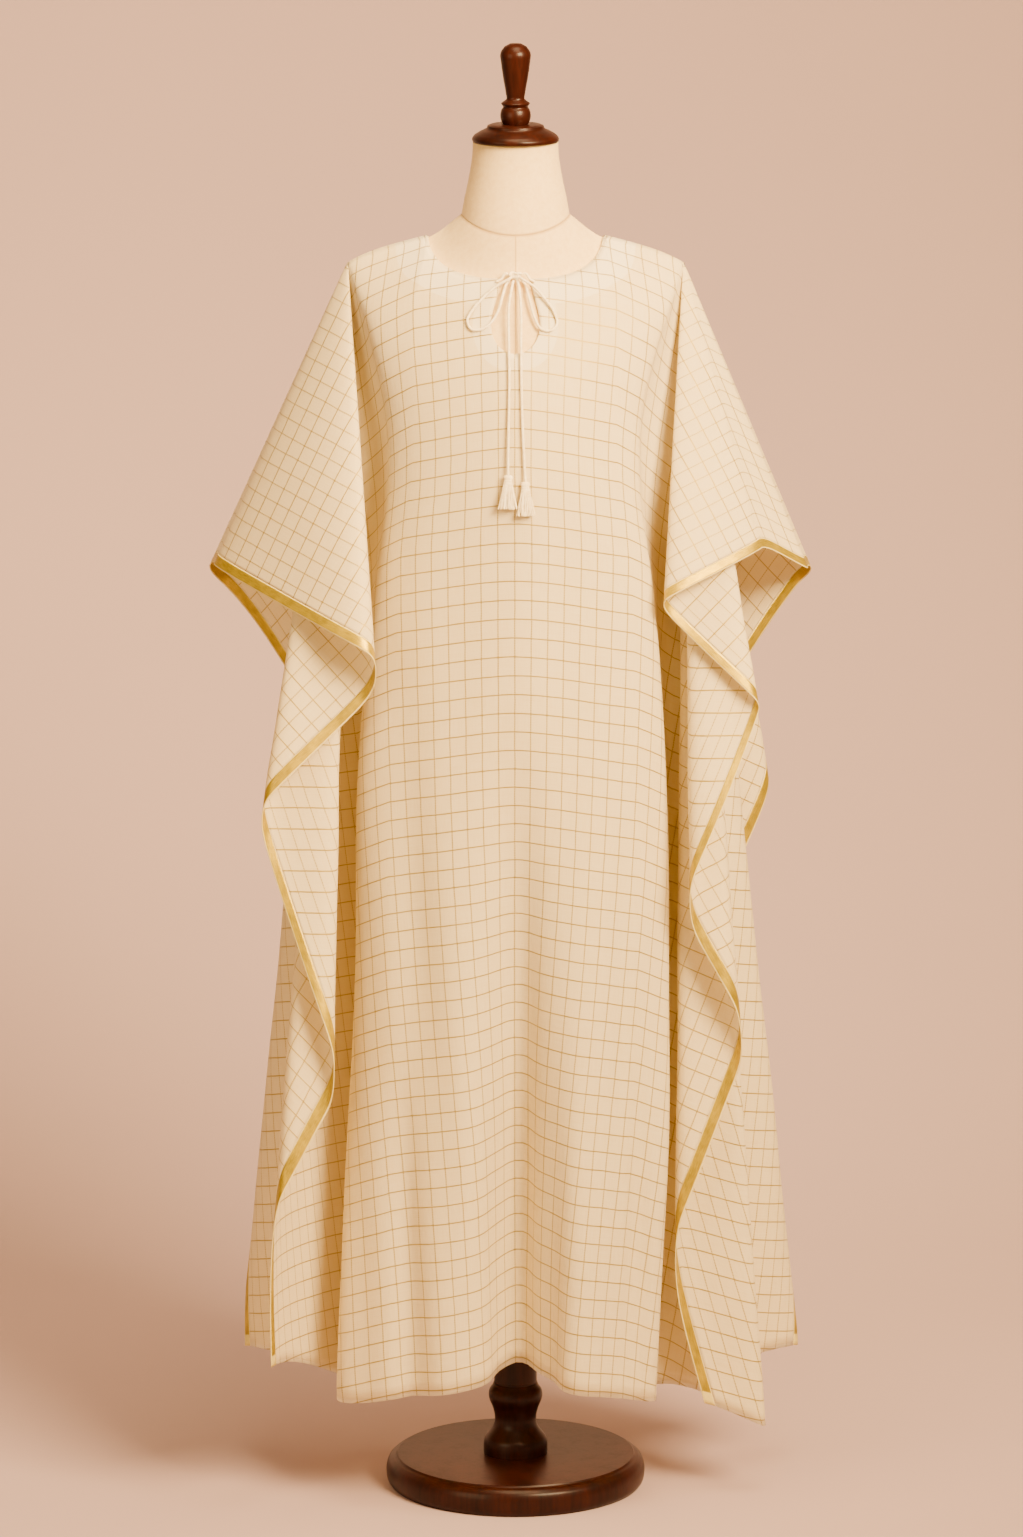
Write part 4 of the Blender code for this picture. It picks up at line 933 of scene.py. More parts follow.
@dataclass(frozen=True)
class TwistedCotton(Finish):
    """Soft cotton yarn, twisted into cord or left loose as tassel threads: matt, with a fine nap."""

    light: str = "#fcf2cc"
    shade: str = "#e6d090"

    def dress(self, tree: bpy.types.NodeTree, shader: bpy.types.Node) -> None:
        """Draws the fibres."""
        place = add_node(tree, "ShaderNodeTexCoord")
        # Fibre bundles about 0.5 mm thick.
        fibre = add_node(tree, "ShaderNodeTexNoise", {
            "Vector": place.outputs["Object"], "Scale": 900.0, "Detail": 2.0, "Roughness": 0.6})
        soft = add_node(tree, "ShaderNodeTexNoise", {
            "Vector": place.outputs["Object"], "Scale": 140.0, "Detail": 2.0})
        both = add_node(tree, "ShaderNodeMath", {
            0: fibre.outputs["Fac"], 1: soft.outputs["Fac"]}, operation="ADD")
        light = add_node(tree, "ShaderNodeMapRange", {
            "Value": both.outputs[0], "From Min": 0.62, "From Max": 1.2})
        tinted = add_node(tree, "ShaderNodeMix", {
            0: light.outputs[0], 6: tone(self.shade), 7: tone(self.light)}, data_type="RGBA")
        tree.links.new(tinted.outputs[2], shader.inputs["Base Color"])
        shader.inputs["Roughness"].default_value = 0.9
        shader.inputs["Sheen Weight"].default_value = 0.3
        bump = add_node(tree, "ShaderNodeBump", {
            "Strength": 0.5, "Distance": 0.0003, "Height": both.outputs[0]})
        tree.links.new(bump.outputs[0], shader.inputs["Normal"])


@dataclass(frozen=True)
class FormLinen(Finish):
    """Unbleached linen, plain woven and stretched over the form's shell: matt, with slubs and fine seams."""

    light: str = "#efd798"
    shade: str = "#dfbe7a"
    seam: str = "#a98444"

    def dress(self, tree: bpy.types.NodeTree, shader: bpy.types.Node) -> None:
        """Draws the weave and the sewn seams."""
        place = add_node(tree, "ShaderNodeTexCoord")
        # Yarns 0.7 mm apart are drawn 1.3 mm apart so that they show.
        warp = add_node(tree, "ShaderNodeTexWave", {
            "Vector": place.outputs["Object"], "Scale": 240.0, "Distortion": 2.0, "Detail": 1.0},
                        bands_direction="X")
        weft = add_node(tree, "ShaderNodeTexWave", {
            "Vector": place.outputs["Object"], "Scale": 240.0, "Distortion": 2.0, "Detail": 1.0},
                        bands_direction="Z")
        weave = add_node(tree, "ShaderNodeMath", {
            0: warp.outputs["Fac"], 1: weft.outputs["Fac"]}, operation="ADD")
        slub = add_node(tree, "ShaderNodeTexNoise", {
            "Vector": place.outputs["Object"], "Scale": 160.0, "Detail": 3.0, "Roughness": 0.7})
        both = add_node(tree, "ShaderNodeMath", {0: weave.outputs[0], 1: 0.35, 2: slub.outputs["Fac"]},
                        operation="MULTIPLY_ADD")
        light = add_node(tree, "ShaderNodeMapRange", {
            "Value": both.outputs[0], "From Min": 0.5, "From Max": 1.15})
        tinted = add_node(tree, "ShaderNodeMix", {
            0: light.outputs[0], 6: tone(self.shade), 7: tone(self.light)}, data_type="RGBA")
        sewn = add_node(tree, "ShaderNodeAttribute", attribute_name="sewn")
        faint = add_node(tree, "ShaderNodeMath", {0: sewn.outputs["Fac"], 1: 0.75}, operation="MULTIPLY")
        seamed = add_node(tree, "ShaderNodeMix", {
            0: faint.outputs[0], 6: tinted.outputs[2], 7: tone(self.seam)}, data_type="RGBA")
        tree.links.new(seamed.outputs[2], shader.inputs["Base Color"])
        shader.inputs["Roughness"].default_value = 0.92
        shader.inputs["Sheen Weight"].default_value = 0.2
        dented = add_node(tree, "ShaderNodeMath", {0: sewn.outputs["Fac"], 1: -2.0, 2: both.outputs[0]},
                          operation="MULTIPLY_ADD")
        bump = add_node(tree, "ShaderNodeBump", {
            "Strength": 0.35, "Distance": 0.0004, "Height": dented.outputs[0]})
        tree.links.new(bump.outputs[0], shader.inputs["Normal"])


@dataclass(frozen=True)
class StainedHardwood(Finish):
    """Turned hardwood, stained dark red-brown and lacquered: fine long grain under a thin satin lacquer."""

    light: str = "#301006"
    dark: str = "#180602"

    def dress(self, tree: bpy.types.NodeTree, shader: bpy.types.Node) -> None:
        """Draws the grain, which runs along the turning's axis."""
        place = add_node(tree, "ShaderNodeTexCoord")
        # Grain lines about 2 mm wide and 40 mm long.
        run = add_node(tree, "ShaderNodeMapping", {
            "Vector": place.outputs["Object"], "Scale": (1.0, 1.0, 0.07)})
        bent = add_node(tree, "ShaderNodeTexNoise", {
            "Vector": run.outputs[0], "Scale": 220.0, "Detail": 4.0, "Roughness": 0.6, "Distortion": 0.4})
        broad = add_node(tree, "ShaderNodeTexNoise", {"Vector": run.outputs[0], "Scale": 38.0, "Detail": 2.0})
        both = add_node(tree, "ShaderNodeMath", {
            0: bent.outputs["Fac"], 1: broad.outputs["Fac"]}, operation="ADD")
        grain = add_node(tree, "ShaderNodeMapRange", {
            "Value": both.outputs[0], "From Min": 0.7, "From Max": 1.3})
        tinted = add_node(tree, "ShaderNodeMix", {
            0: grain.outputs[0], 6: tone(self.dark), 7: tone(self.light)}, data_type="RGBA")
        tree.links.new(tinted.outputs[2], shader.inputs["Base Color"])
        gloss = add_node(tree, "ShaderNodeMapRange", {
            "Value": both.outputs[0], "To Min": 0.46, "To Max": 0.36})
        tree.links.new(gloss.outputs[0], shader.inputs["Roughness"])
        shader.inputs["Specular IOR Level"].default_value = 0.16
        shader.inputs["Coat Weight"].default_value = 0.06
        shader.inputs["Coat Roughness"].default_value = 0.16
        bump = add_node(tree, "ShaderNodeBump", {
            "Strength": 0.12, "Distance": 0.0003, "Height": both.outputs[0]})
        tree.links.new(bump.outputs[0], shader.inputs["Normal"])


@dataclass(frozen=True)
class StudioPaper(Finish):
    """Seamless studio paper, matt and pale, for the floor and the backdrop."""

    colour: str = "#bfa8a6"

    def dress(self, tree: bpy.types.NodeTree, shader: bpy.types.Node) -> None:
        """Draws a faint mottle."""
        place = add_node(tree, "ShaderNodeTexCoord")
        mottle = add_node(tree, "ShaderNodeTexNoise", {
            "Vector": place.outputs["Object"], "Scale": 3.0, "Detail": 3.0})
        bright = add_node(tree, "ShaderNodeMapRange", {
            "Value": mottle.outputs["Fac"], "To Min": 0.985, "To Max": 1.015})
        tinted = add_node(tree, "ShaderNodeHueSaturation", {
            "Value": bright.outputs[0], "Color": tone(self.colour)})
        tree.links.new(tinted.outputs[0], shader.inputs["Base Color"])
        shader.inputs["Roughness"].default_value = 0.95
        shader.inputs["Specular IOR Level"].default_value = 0.2
        # The paper's back is clear, so that the backdrop never hides the kaftan's back.
        side = add_node(tree, "ShaderNodeNewGeometry")
        clear = add_node(tree, "ShaderNodeBsdfTransparent")
        mixed = add_node(tree, "ShaderNodeMixShader", {
            0: side.outputs["Backfacing"], 1: shader.outputs[0], 2: clear.outputs[0]})
        tree.links.new(mixed.outputs[0], tree.nodes["Material Output"].inputs["Surface"])


VOILE = CheckedVoile("checked_cotton_voile")
PLAIN = PlainVoile("plain_cotton_voile")
GOLD = WovenGold("woven_gold_band")
YARN = TwistedCotton("twisted_cotton_yarn")
LINEN = FormLinen("form_linen")
WOOD = StainedHardwood("stained_hardwood")
PAPER = StudioPaper("studio_paper")


def grid(bm: bmesh.types.BMesh, columns: int, rows: int) -> tuple[list[bmesh.types.BMVert], Array, Array]:
    """Adds a grid to shape a sheet or a tube from.

    Args:
        bm: The mesh that it goes into.
        columns: Faces across.
        rows: Faces down.

    Returns:
        Its vertices, and each one's share across and share down.
    """
    made = bmesh.ops.create_grid(bm, x_segments=columns, y_segments=rows, size=0.5)["verts"]
    places = np.array([v.co[:2] for v in made]) + 0.5
    return made, places[:, 0], places[:, 1]


def move_to(verts: Sequence[bmesh.types.BMVert], points: Array) -> None:
    """Moves vertices to points."""
    for vert, point in zip(verts, points):
        vert.co = point


def finish_mesh(name: str, bm: bmesh.types.BMesh, finish: Finish, nodes: Sequence[str],
                sharp: float = 180.0) -> bpy.types.Object:
    """Turns a bmesh into a smooth-shaded piece that rides on the form.

    Args:
        name: The piece's name.
        bm: Its mesh, which is freed.
        finish: Its material.
        nodes: The CAD nodes that it stands for.
        sharp: The angle in degrees from which an edge stays sharp.

    Returns:
        The object.
    """
    mesh = bpy.data.meshes.new(name)
    bm.to_mesh(mesh)
    bm.free()
    mesh.materials.append(finish.material())
    mesh.shade_smooth()
    if sharp < 180.0:
        mesh.set_sharp_from_angle(angle=math.radians(sharp))
    piece = bpy.data.objects.new(name, mesh)
    bpy.context.scene.collection.objects.link(piece)
    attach(piece, "root")
    if nodes:
        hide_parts(*nodes)
    LOG.info("%s: %d faces", name, len(mesh.polygons))
    return piece


def thicken(piece: bpy.types.Object, thickness: float) -> None:
    """Gives a sheet its thickness, half to each side.

    Args:
        piece: The sheet.
        thickness: In metres.
    """
    wall = piece.modifiers.new("thickness", "SOLIDIFY")
    wall.thickness = thickness
    wall.offset = 0.0
    wall.use_rim = True
    wall.use_quality_normals = True


@dataclass
class Neckline:
    """The round neck with its keyhole, in the flat cloth.

    round_from is the share of the keyhole's length at which its round bottom starts. Beside and below it, the
    cloth's columns give way from release_from over release_over, so that they run straight again.
    """

    face: Face
    round_from: float = 0.60
    release_from: float = 0.55
    release_over: float = 0.75

    def start(self, u: Array) -> Array:
        """Level at which the cloth starts, at the distance u from the centre line."""
        inside = np.sqrt(np.clip(1.0 - (u / CUT.neck_u) ** 2, 0.0, 1.0))
        return np.maximum(CUT.neck_depth(self.face) * inside, CUT.seam_gap / 2)

    def facing_edge(self, u: Array) -> Array:
        """Level of the facing's outer edge, at the distance u from the centre line."""
        inside = np.sqrt(np.clip(1.0 - (u / (CUT.neck_u + CUT.facing_width)) ** 2, 0.0, 1.0))
        return np.maximum((CUT.neck_depth(self.face) + CUT.facing_width) * inside, CUT.seam_gap / 2)

    def widening(self, t: Array) -> Array:
        """Half width of the keyhole's slanting sides at the share t of its length."""
        return CUT.keyhole_top + (CUT.keyhole_wide - CUT.keyhole_top) * ease(t / self.round_from)

    def keyhole(self, v: Array) -> Array:
        """Half width of the keyhole at the level v of the front, and 0 below it and on the back."""
        if self.face is Face.BACK:
            return np.zeros(np.shape(v))
        t = np.clip((v - CUT.neck_front) / CUT.keyhole_length, 0.0, 1.0)
        bottom = np.clip(t - self.round_from, 0, 1) / (1.0 - self.round_from)
        return self.widening(t) * np.sqrt(np.clip(1.0 - bottom ** 2, 0.0, 1.0))

    def beside_keyhole(self, v: Array) -> Array:
        """How far the columns beside the keyhole give way at the level v, which ends softly below it."""
        if self.face is Face.BACK:
            return np.zeros(np.shape(v))
        t = (v - CUT.neck_front) / CUT.keyhole_length
        return self.widening(t) * (1.0 - ease((t - self.release_from) / self.release_over))

    def edge_distances(self, u: Array, v: Array) -> tuple[Array, Array]:
        """Distances from the neckline and from the keyhole's edge.

        Args:
            u: Distances from the centre line.
            v: Distances below the shoulder fold.

        Returns:
            Metres outward from each.
        """
        depth = CUT.neck_depth(self.face)
        outward = (np.hypot(u / CUT.neck_u, v / depth) - 1.0) * depth
        level = np.linspace(CUT.neck_front, CUT.neck_front + CUT.keyhole_length, 60)
        half = self.keyhole(level)
        return outward, np.hypot(u[..., None] - half, v[..., None] - level).min(axis=-1)


def round_spacing(share: Array) -> Array:
    """Gathers even places towards the far end, where a rounded opening closes."""
    near = np.clip(share, 0, 1)
    return 0.88 * np.sin(near * math.pi / 2) + 0.12 * near


@dataclass
class Panel:
    """The front or the back of the kaftan, cut in one piece with its hem, and its neck facing."""

    face: Face
    keyhole_rows: int = 26
    body_rows: int = 96
    neck_columns: int = 30
    side_columns: int = 28
    fold_columns: int = 108
    facing_thickness: float = 0.0008
    facing_gap: float = 0.0006
    keyhole_reach: float = 0.047

    def __post_init__(self) -> None:
        """Drapes both halves."""
        self.neck = Neckline(self.face)
        self.drapes = {hand: Drape(self.face, hand) for hand in Hand}
        left, right = [self.drapes[hand].body for hand in Hand]
        left.meet(right)
        right.meet(left)
        self.edge = CUT.wing_width - CUT.band - CUT.seam_gap
        self.flat_area = 0.0

    @property
    def rows(self) -> int:
        """Faces down the panel."""
        return self.keyhole_rows + self.body_rows

    def hem_level(self, u: Array) -> Array:
        """Level of the hem at the distance u from the centre line."""
        rise = ease((u - CUT.hem_rise_from) / (CUT.half_width - CUT.hem_rise_from))
        return CUT.length - (CUT.length - CUT.corner_length) * rise

    def level(self, start: Array | float, hem: Array | float, share: Array) -> Array:
        """Level of a row, which follows the neckline's curve at the top and the hem below."""
        return start * (1.0 - share) ** 6 + hem * share

    def row_share(self, down: Array) -> Array:
        """Turns a share of the rows into a share of the cloth: the first rows follow the keyhole."""
        fine = np.linspace(0.0, 0.5, 2001)
        levels = self.level(CUT.neck_front, CUT.length, fine)
        keyhole = np.interp(CUT.neck_front + CUT.keyhole_length, levels, fine)
        first = self.keyhole_rows / self.rows
        early = keyhole * round_spacing(down / first)
        late = np.clip((down - first) / (1 - first), 0, 1)
        return np.where(down < first, early, keyhole + (1 - keyhole) * (0.35 * late ** 2 + 0.65 * late))

    def column_share(self, across: Array) -> Array:
        """Turns a share of a body's columns into a share of its width: the first follow the neckline."""
        neck = CUT.neck_u / CUT.shoulder_u
        first = self.neck_columns / (self.neck_columns + self.side_columns)
        early = neck * round_spacing(across / first)
        return np.where(across < first, early, neck + (1 - neck) * (across - first) / (1 - first))

    def body_flat(self, across: Array, down: Array) -> tuple[Array, Array]:
        """Flat places of a body's grid.

        Args:
            across: Shares across.
            down: Shares down.

        Returns:
            u and v of each point.
        """
        shares, rows = self.column_share(across), self.row_share(down)
        hem = np.full(shares.shape, CUT.length)
        for _ in range(8):
            hem = self.hem_level(shares * seam_u(hem))
        start = self.neck.start(shares * CUT.shoulder_u)
        v = self.level(start, hem, rows)
        middle = self.level(CUT.neck_depth(self.face), CUT.length, rows)
        shift = np.where(across < 1e-9, self.neck.keyhole(middle), self.neck.beside_keyhole(middle))
        u = shares * seam_u(v) + shift * (1 - shares) ** 3
        return u, np.where(down < 1e-9, self.neck.start(u), v)

    def wing_columns(self, wing: Wing) -> Array:
        """Cloth angles of a wing's columns from the seam outward, closer together at the folds."""
        folds = wing.fold_angles
        each = self.fold_columns // (len(folds) - 1)
        t = np.linspace(0.0, 1.0, each, endpoint=False)
        t = t - 0.11 * np.sin(2 * math.pi * t)
        angles = [a + (b - a) * t for a, b in zip(folds[:-1], folds[1:])]
        angles = np.concatenate([*angles, folds[-1:]])[::-1]
        corner = math.atan2(CUT.corner_length, self.edge)
        angles[1 + np.argmin(np.abs(angles[1:-1] - corner))] = corner
        return angles

    def wing_flat(self, wing: Wing, across: Array, down: Array) -> tuple[Array, Array]:
        """Flat places of a wing's grid, on the same levels as the body's at the seam.

        Args:
            wing: The wing.
            across: Shares across, from the seam.
            down: Shares down.

        Returns:
            u and v of each point.
        """
        columns = self.wing_columns(wing)
        angles = columns[np.round(across * (len(columns) - 1)).astype(int)]
        corner = math.atan2(CUT.corner_length, self.edge)
        reach = np.full(angles.shape, CUT.length)
        for _ in range(12):
            reach = self.hem_level(CUT.shoulder_u + reach * np.cos(angles)) / np.sin(np.maximum(angles, 0.3))
        reach = np.where(angles <= corner + 1e-9, self.edge / np.cos(angles), reach)
        seam_v = self.body_flat(np.ones(down.shape), down)[1]
        last = self.body_flat(np.ones(1), np.ones(1))[1][0]
        even = 1.0 - 0.35 * ease((CUT.seam_angle - angles) / math.radians(25))
        r = np.where(down < 1e-9, 0.0, reach * (seam_v / last) ** even)
        u, v = CUT.shoulder_u + r * np.cos(angles), np.maximum(r * np.sin(angles), CUT.seam_gap / 2)
        seam = angles >= CUT.seam_angle - 1e-9
        v = np.where(seam, seam_v, v)
        u = np.where(seam, seam_u(v), u)
        top = down < 1e-9
        return np.where(top, seam_u(seam_v), u), np.where(top, seam_v, v)

    def facing_share(self, u: Array, v: Array) -> Array:
        """Distance from the neckline or keyhole as a share of the facing's width there.

        Args:
            u: Distances from the centre line.
            v: Distances below the shoulder fold.

        Returns:
            0 at the edge and 1 at the facing's outer edge.
        """
        round_neck, round_keyhole = self.neck.edge_distances(u, v)
        if self.face is Face.BACK:
            return round_neck / CUT.facing_width
        return np.minimum(round_neck / CUT.facing_width, round_keyhole / (0.62 * CUT.facing_width))

    def spread_half(self, bm: bmesh.types.BMesh, hand: Hand) -> Array:
        """Adds one half's grids and drapes them.

        Args:
            bm: The panel's mesh.
            hand: Which half.

        Returns:
            Flat coordinates, share of the facing and distance from the hem of each new vertex.
        """
        drape = self.drapes[hand]
        out = []
        columns = len(self.wing_columns(drape.wing)) - 1
        for width, place in ((self.neck_columns + self.side_columns, None), (columns, drape.wing)):
            known = len(bm.faces)
            verts, across, down = grid(bm, width, self.rows)
            u, v = self.body_flat(across, down) if place is None else self.wing_flat(place, across, down)
            move_to(verts, drape.laid(u, v))
            bm.faces.ensure_lookup_table()
            faces = bm.faces[known:]
            self.face_outward(bm, faces, drape, u, v, verts)
            flat = [u * hand.value, -v * self.face.forward]
            out.append(np.column_stack([*flat, self.facing_share(u, v), self.hem_level(u) - v]))
        return np.vstack(out)

    def face_outward(self, bm: bmesh.types.BMesh, faces: Sequence[bmesh.types.BMFace], drape: Drape, u: Array,
                     v: Array, verts: Sequence[bmesh.types.BMVert]) -> None:
        """Turns a grid's faces to the outer side of the cloth.

        Args:
            bm: The panel's mesh.
            faces: The grid's faces.
            drape: The half that they lie on.
            u: Flat places of its vertices.
            v: Their levels.
            verts: Its vertices.
        """
        bm.normal_update()
        outward = drape.normal(u, v)
        there = {vert: k for k, vert in enumerate(verts)}
        turned = sum(face.normal.dot(Vector(outward[there[face.verts[0]]])) for face in faces[::7])
        if turned < 0:
            bmesh.ops.reverse_faces(bm, faces=faces)

    def lay_cut(self, bm: bmesh.types.BMesh, data: Array) -> None:
        """Writes the flat coordinates as a UV map, and the places of facing and hem as attributes.

        Args:
            bm: The panel's mesh.
            data: u, v, share of the facing and distance from the hem of each vertex.
        """
        cut = bm.loops.layers.uv.new("cut")
        facing, hem = [bm.verts.layers.float.new(name) for name in ("facing_share", "hem_away")]
        bm.verts.ensure_lookup_table()
        bm.verts.index_update()
        for vert, row in zip(bm.verts, data):
            vert[facing], vert[hem] = row[2], row[3]
        for face in bm.faces:
            for loop in face.loops:
                loop[cut].uv = data[loop.vert.index, :2]

    def build(self) -> bpy.types.Object:
        """Makes the cloth.

        Returns:
            The piece.
        """
        bm = bmesh.new()
        data = np.vstack([self.spread_half(bm, hand) for hand in Hand])
        self.lay_cut(bm, data)
        cut = bm.loops.layers.uv["cut"]
        for face in bm.faces:
            corners = [loop[cut].uv for loop in face.loops]
            turns = sum(a.x * b.y - a.y * b.x for a, b in zip(corners, corners[1:] + corners[:1]))
            self.flat_area += abs(turns) / 2
        bmesh.ops.remove_doubles(bm, verts=bm.verts, dist=SEAM_MERGE)
        bmesh.ops.dissolve_degenerate(bm, edges=bm.edges, dist=SHORTEST_EDGE)
        piece = finish_mesh(f"{self.face.value}_cloth", bm, VOILE, [f"{self.face.value}_panel"])
        thicken(piece, CUT.thickness)
        return piece

    def facing_patches(self) -> list[tuple[int, int, Callable[[Array, Array], tuple[Array, Array]]]]:
        """The strips of the neck facing: one round the neckline, and on the front one round the keyhole.

        Returns:
            Columns and rows of each strip, and its flat places from shares across and down.
        """
        low = CUT.keyhole_length + CUT.facing_below

        def round_neck(across: Array, down: Array) -> tuple[Array, Array]:
            """Flat places of the strip round the neckline."""
            depth = CUT.neck_depth(self.face)
            angle = (1 - across) * math.pi / 2
            wide = CUT.neck_u + CUT.facing_width * down
            deep = depth + CUT.facing_width * down
            u, v = wide * np.cos(angle), np.maximum(deep * np.sin(angle), CUT.seam_gap / 2)
            return np.maximum(u, self.neck.keyhole(v)), v

        def round_keyhole(across: Array, down: Array) -> tuple[Array, Array]:
            """Flat places of the strip round the keyhole."""
            outer = CUT.neck_front + low
            top = self.neck.facing_edge(self.keyhole_reach * across)
            v = top + (outer - top) * np.sin(down * math.pi / 2)
            half = self.neck.keyhole(v)
            fall = np.clip((v - top) / (outer - top), 0, 1)
            wide = self.keyhole_reach * np.sqrt(np.clip(1.0 - fall ** 4, 0.0, 1.0))
            return half + (np.maximum(wide, half) - half) * across, v

        patches = [(30, 8, round_neck)]
        if self.face is Face.FRONT:
            patches.append((8, 30, round_keyhole))
        return patches

    def build_facing(self) -> bpy.types.Object:
        """Makes the neck facing, which lies inside the cloth.

        Returns:
            The piece.
        """
        inward = -(CUT.thickness + self.facing_thickness) / 2 - self.facing_gap
        bm = bmesh.new()
        data = []
        for hand in Hand:
            for columns, rows, place in self.facing_patches():
                known = len(bm.faces)
                verts, across, down = grid(bm, columns, rows)
                u, v = place(across, down)
                move_to(verts, self.drapes[hand].laid(u, v, inward))
                bm.faces.ensure_lookup_table()
                self.face_outward(bm, bm.faces[known:], self.drapes[hand], u, v, verts)
                data.append(np.column_stack([u * hand.value, v, np.zeros(len(u)), np.zeros(len(u))]))
        self.lay_cut(bm, np.vstack(data))
        bmesh.ops.remove_doubles(bm, verts=bm.verts, dist=SEAM_MERGE)
        bmesh.ops.dissolve_degenerate(bm, edges=bm.edges, dist=SHORTEST_EDGE)
        name = f"{self.face.value}_neck_facing"
        piece = finish_mesh(f"{self.face.value}_facing", bm, PLAIN, [name])
        thicken(piece, self.facing_thickness)
        return piece


@dataclass
class EdgeBand:
    """The gold band woven along one outer edge of a panel."""

    panel: Panel
    hand: Hand
    rows: int = 420
    columns: int = 5

    def build(self) -> bpy.types.Object:
        """Makes the band from the shoulder fold to the hem corner.

        Returns:
            The piece.
        """
        bm = bmesh.new()
        verts, across, down = grid(bm, self.columns, self.rows)
        inner = CUT.wing_width - CUT.band
        u = CUT.shoulder_u + inner + CUT.band * across
        v = np.maximum(CUT.corner_length * self.even(down), CUT.seam_gap / 2)
        drape = self.panel.drapes[self.hand]
        move_to(verts, drape.laid(u, v))
        self.panel.face_outward(bm, list(bm.faces), drape, u, v, verts)
        bm.verts.index_update()
        cut = bm.loops.layers.uv.new("cut")
        flat = np.column_stack([CUT.band * (1 - across), v])
        for face in bm.faces:
            for loop in face.loops:
                loop[cut].uv = flat[loop.vert.index]
        face, word = self.panel.face.value, self.hand.word
        piece = finish_mesh(f"{face}_band_{word}", bm, GOLD, [f"{face}_border_{word}"])
        thicken(piece, CUT.thickness)
        return piece

    def even(self, down: Array) -> Array:
        """Shares of the length at which the rows run by even steps of the cloth's angle and length."""
        length = np.linspace(0.0, 1.0, 2001)
        angle = np.arctan2(length * CUT.corner_length, CUT.wing_width)
        run = angle / angle[-1] + length
        return np.interp(down * run[-1], run, length)


def smooth_route(knots: Array, step: float) -> Array:
    """A smooth curve through places, read at even steps.

    Args:
        knots: The places.
        step: The distance between its points.

    Returns:
        The points.
    """
    chords = np.linalg.norm(np.diff(knots, axis=0), axis=1)
    slopes = np.gradient(knots, np.concatenate([[0.0], np.cumsum(chords)]), axis=0)
    t = np.linspace(0, 1, 20, endpoint=False)
    fine = [hermite(knots[k], slopes[k] * chords[k], knots[k + 1], slopes[k + 1] * chords[k], t)
            for k in range(len(chords))]
    fine = np.vstack([*fine, knots[-1:]])
    run = np.concatenate([[0.0], np.cumsum(np.linalg.norm(np.diff(fine, axis=0), axis=1))])
    even = np.linspace(0, run[-1], max(2, round(run[-1] / step)) + 1)
    return np.stack([np.interp(even, run, fine[:, k]) for k in range(3)], 1)


def add_tube(bm: bmesh.types.BMesh, points: Array, outline: Callable[[Array, Array], Array],
             sides: int) -> None:
    """Adds a closed tube along a route.

    Args:
        bm: The mesh that it goes into.
        points: The route.
        outline: Gives the tube's radius from the angle round it and the place along it.
        sides: How many sides it has.
    """
    verts, across, down = grid(bm, sides, len(points) - 1)
    row = np.round(down * (len(points) - 1)).astype(int)
    ahead = np.gradient(points, axis=0)
    ahead /= np.linalg.norm(ahead, axis=1)[:, None]
    beside = np.zeros(points.shape)
    last = np.cross(ahead[0], [0.0, 1.0, 0.2])
    for k, line in enumerate(ahead):
        last = last - line * np.dot(last, line)
        last /= np.linalg.norm(last)
        beside[k] = last
    over = np.cross(ahead, beside)
    run = np.concatenate([[0.0], np.cumsum(np.linalg.norm(np.diff(points, axis=0), axis=1))])
    angle = across * 2 * math.pi
    radius = outline(angle, run[row])
    ring = beside[row] * np.cos(angle)[:, None] + over[row] * np.sin(angle)[:, None]
    move_to(verts, points[row] + ring * radius[:, None])
    bmesh.ops.remove_doubles(bm, verts=verts, dist=TUBE_MERGE)
    rims = [edge for edge in bm.edges if edge.is_boundary]
    bmesh.ops.holes_fill(bm, edges=rims, sides=0)


@dataclass(frozen=True)
class Way:
    """A place on the front cloth that a cord passes: flat place across and down, and its height over it."""

    across: float
    down: float
    lift: float


CORD_WAYS: dict[str, list[Way]] = {
    "tie_stub_left": [
        Way(-0.0165, 0.0930, 0.0034),
        Way(-0.0215, 0.0950, 0.0027),
    ],
    "tie_stub_right": [
        Way(0.0165, 0.0930, 0.0034),
        Way(0.0215, 0.0950, 0.0027),
    ],
    "tie_loop_left": [
        Way(-0.0200, 0.1030, 0.0075),
        Way(-0.0340, 0.1130, 0.0050),
        Way(-0.0480, 0.1270, 0.0036),
        Way(-0.0545, 0.1400, 0.0032),
        Way(-0.0500, 0.1510, 0.0032),
        Way(-0.0380, 0.1530, 0.0034),
        Way(-0.0270, 0.1460, 0.0036),
        Way(-0.0190, 0.1320, 0.0040),
        Way(-0.0145, 0.1150, 0.0042),
    ],
    "tie_loop_right": [
        Way(0.0200, 0.1040, 0.0075),
        Way(0.0330, 0.1170, 0.0050),
        Way(0.0440, 0.1320, 0.0036),
        Way(0.0470, 0.1450, 0.0032),
        Way(0.0400, 0.1540, 0.0032),
        Way(0.0290, 0.1540, 0.0034),
        Way(0.0220, 0.1430, 0.0036),
        Way(0.0175, 0.1280, 0.0040),
        Way(0.0140, 0.1130, 0.0042),
    ],
    "tie_end_left": [
        Way(-0.0070, 0.1250, 0.0060),
        Way(-0.0075, 0.1700, 0.0045),
        Way(-0.0070, 0.2100, 0.0036),
        Way(-0.0080, 0.2700, 0.0042),
        Way(-0.0085, 0.3300, 0.0062),
    ],
    "tie_end_right": [
        Way(0.0055, 0.1250, 0.0060),
        Way(0.0060, 0.1700, 0.0045),
        Way(0.0065, 0.2100, 0.0036),
        Way(0.0080, 0.2700, 0.0042),
        Way(0.0110, 0.3380, 0.0062),
    ],
}
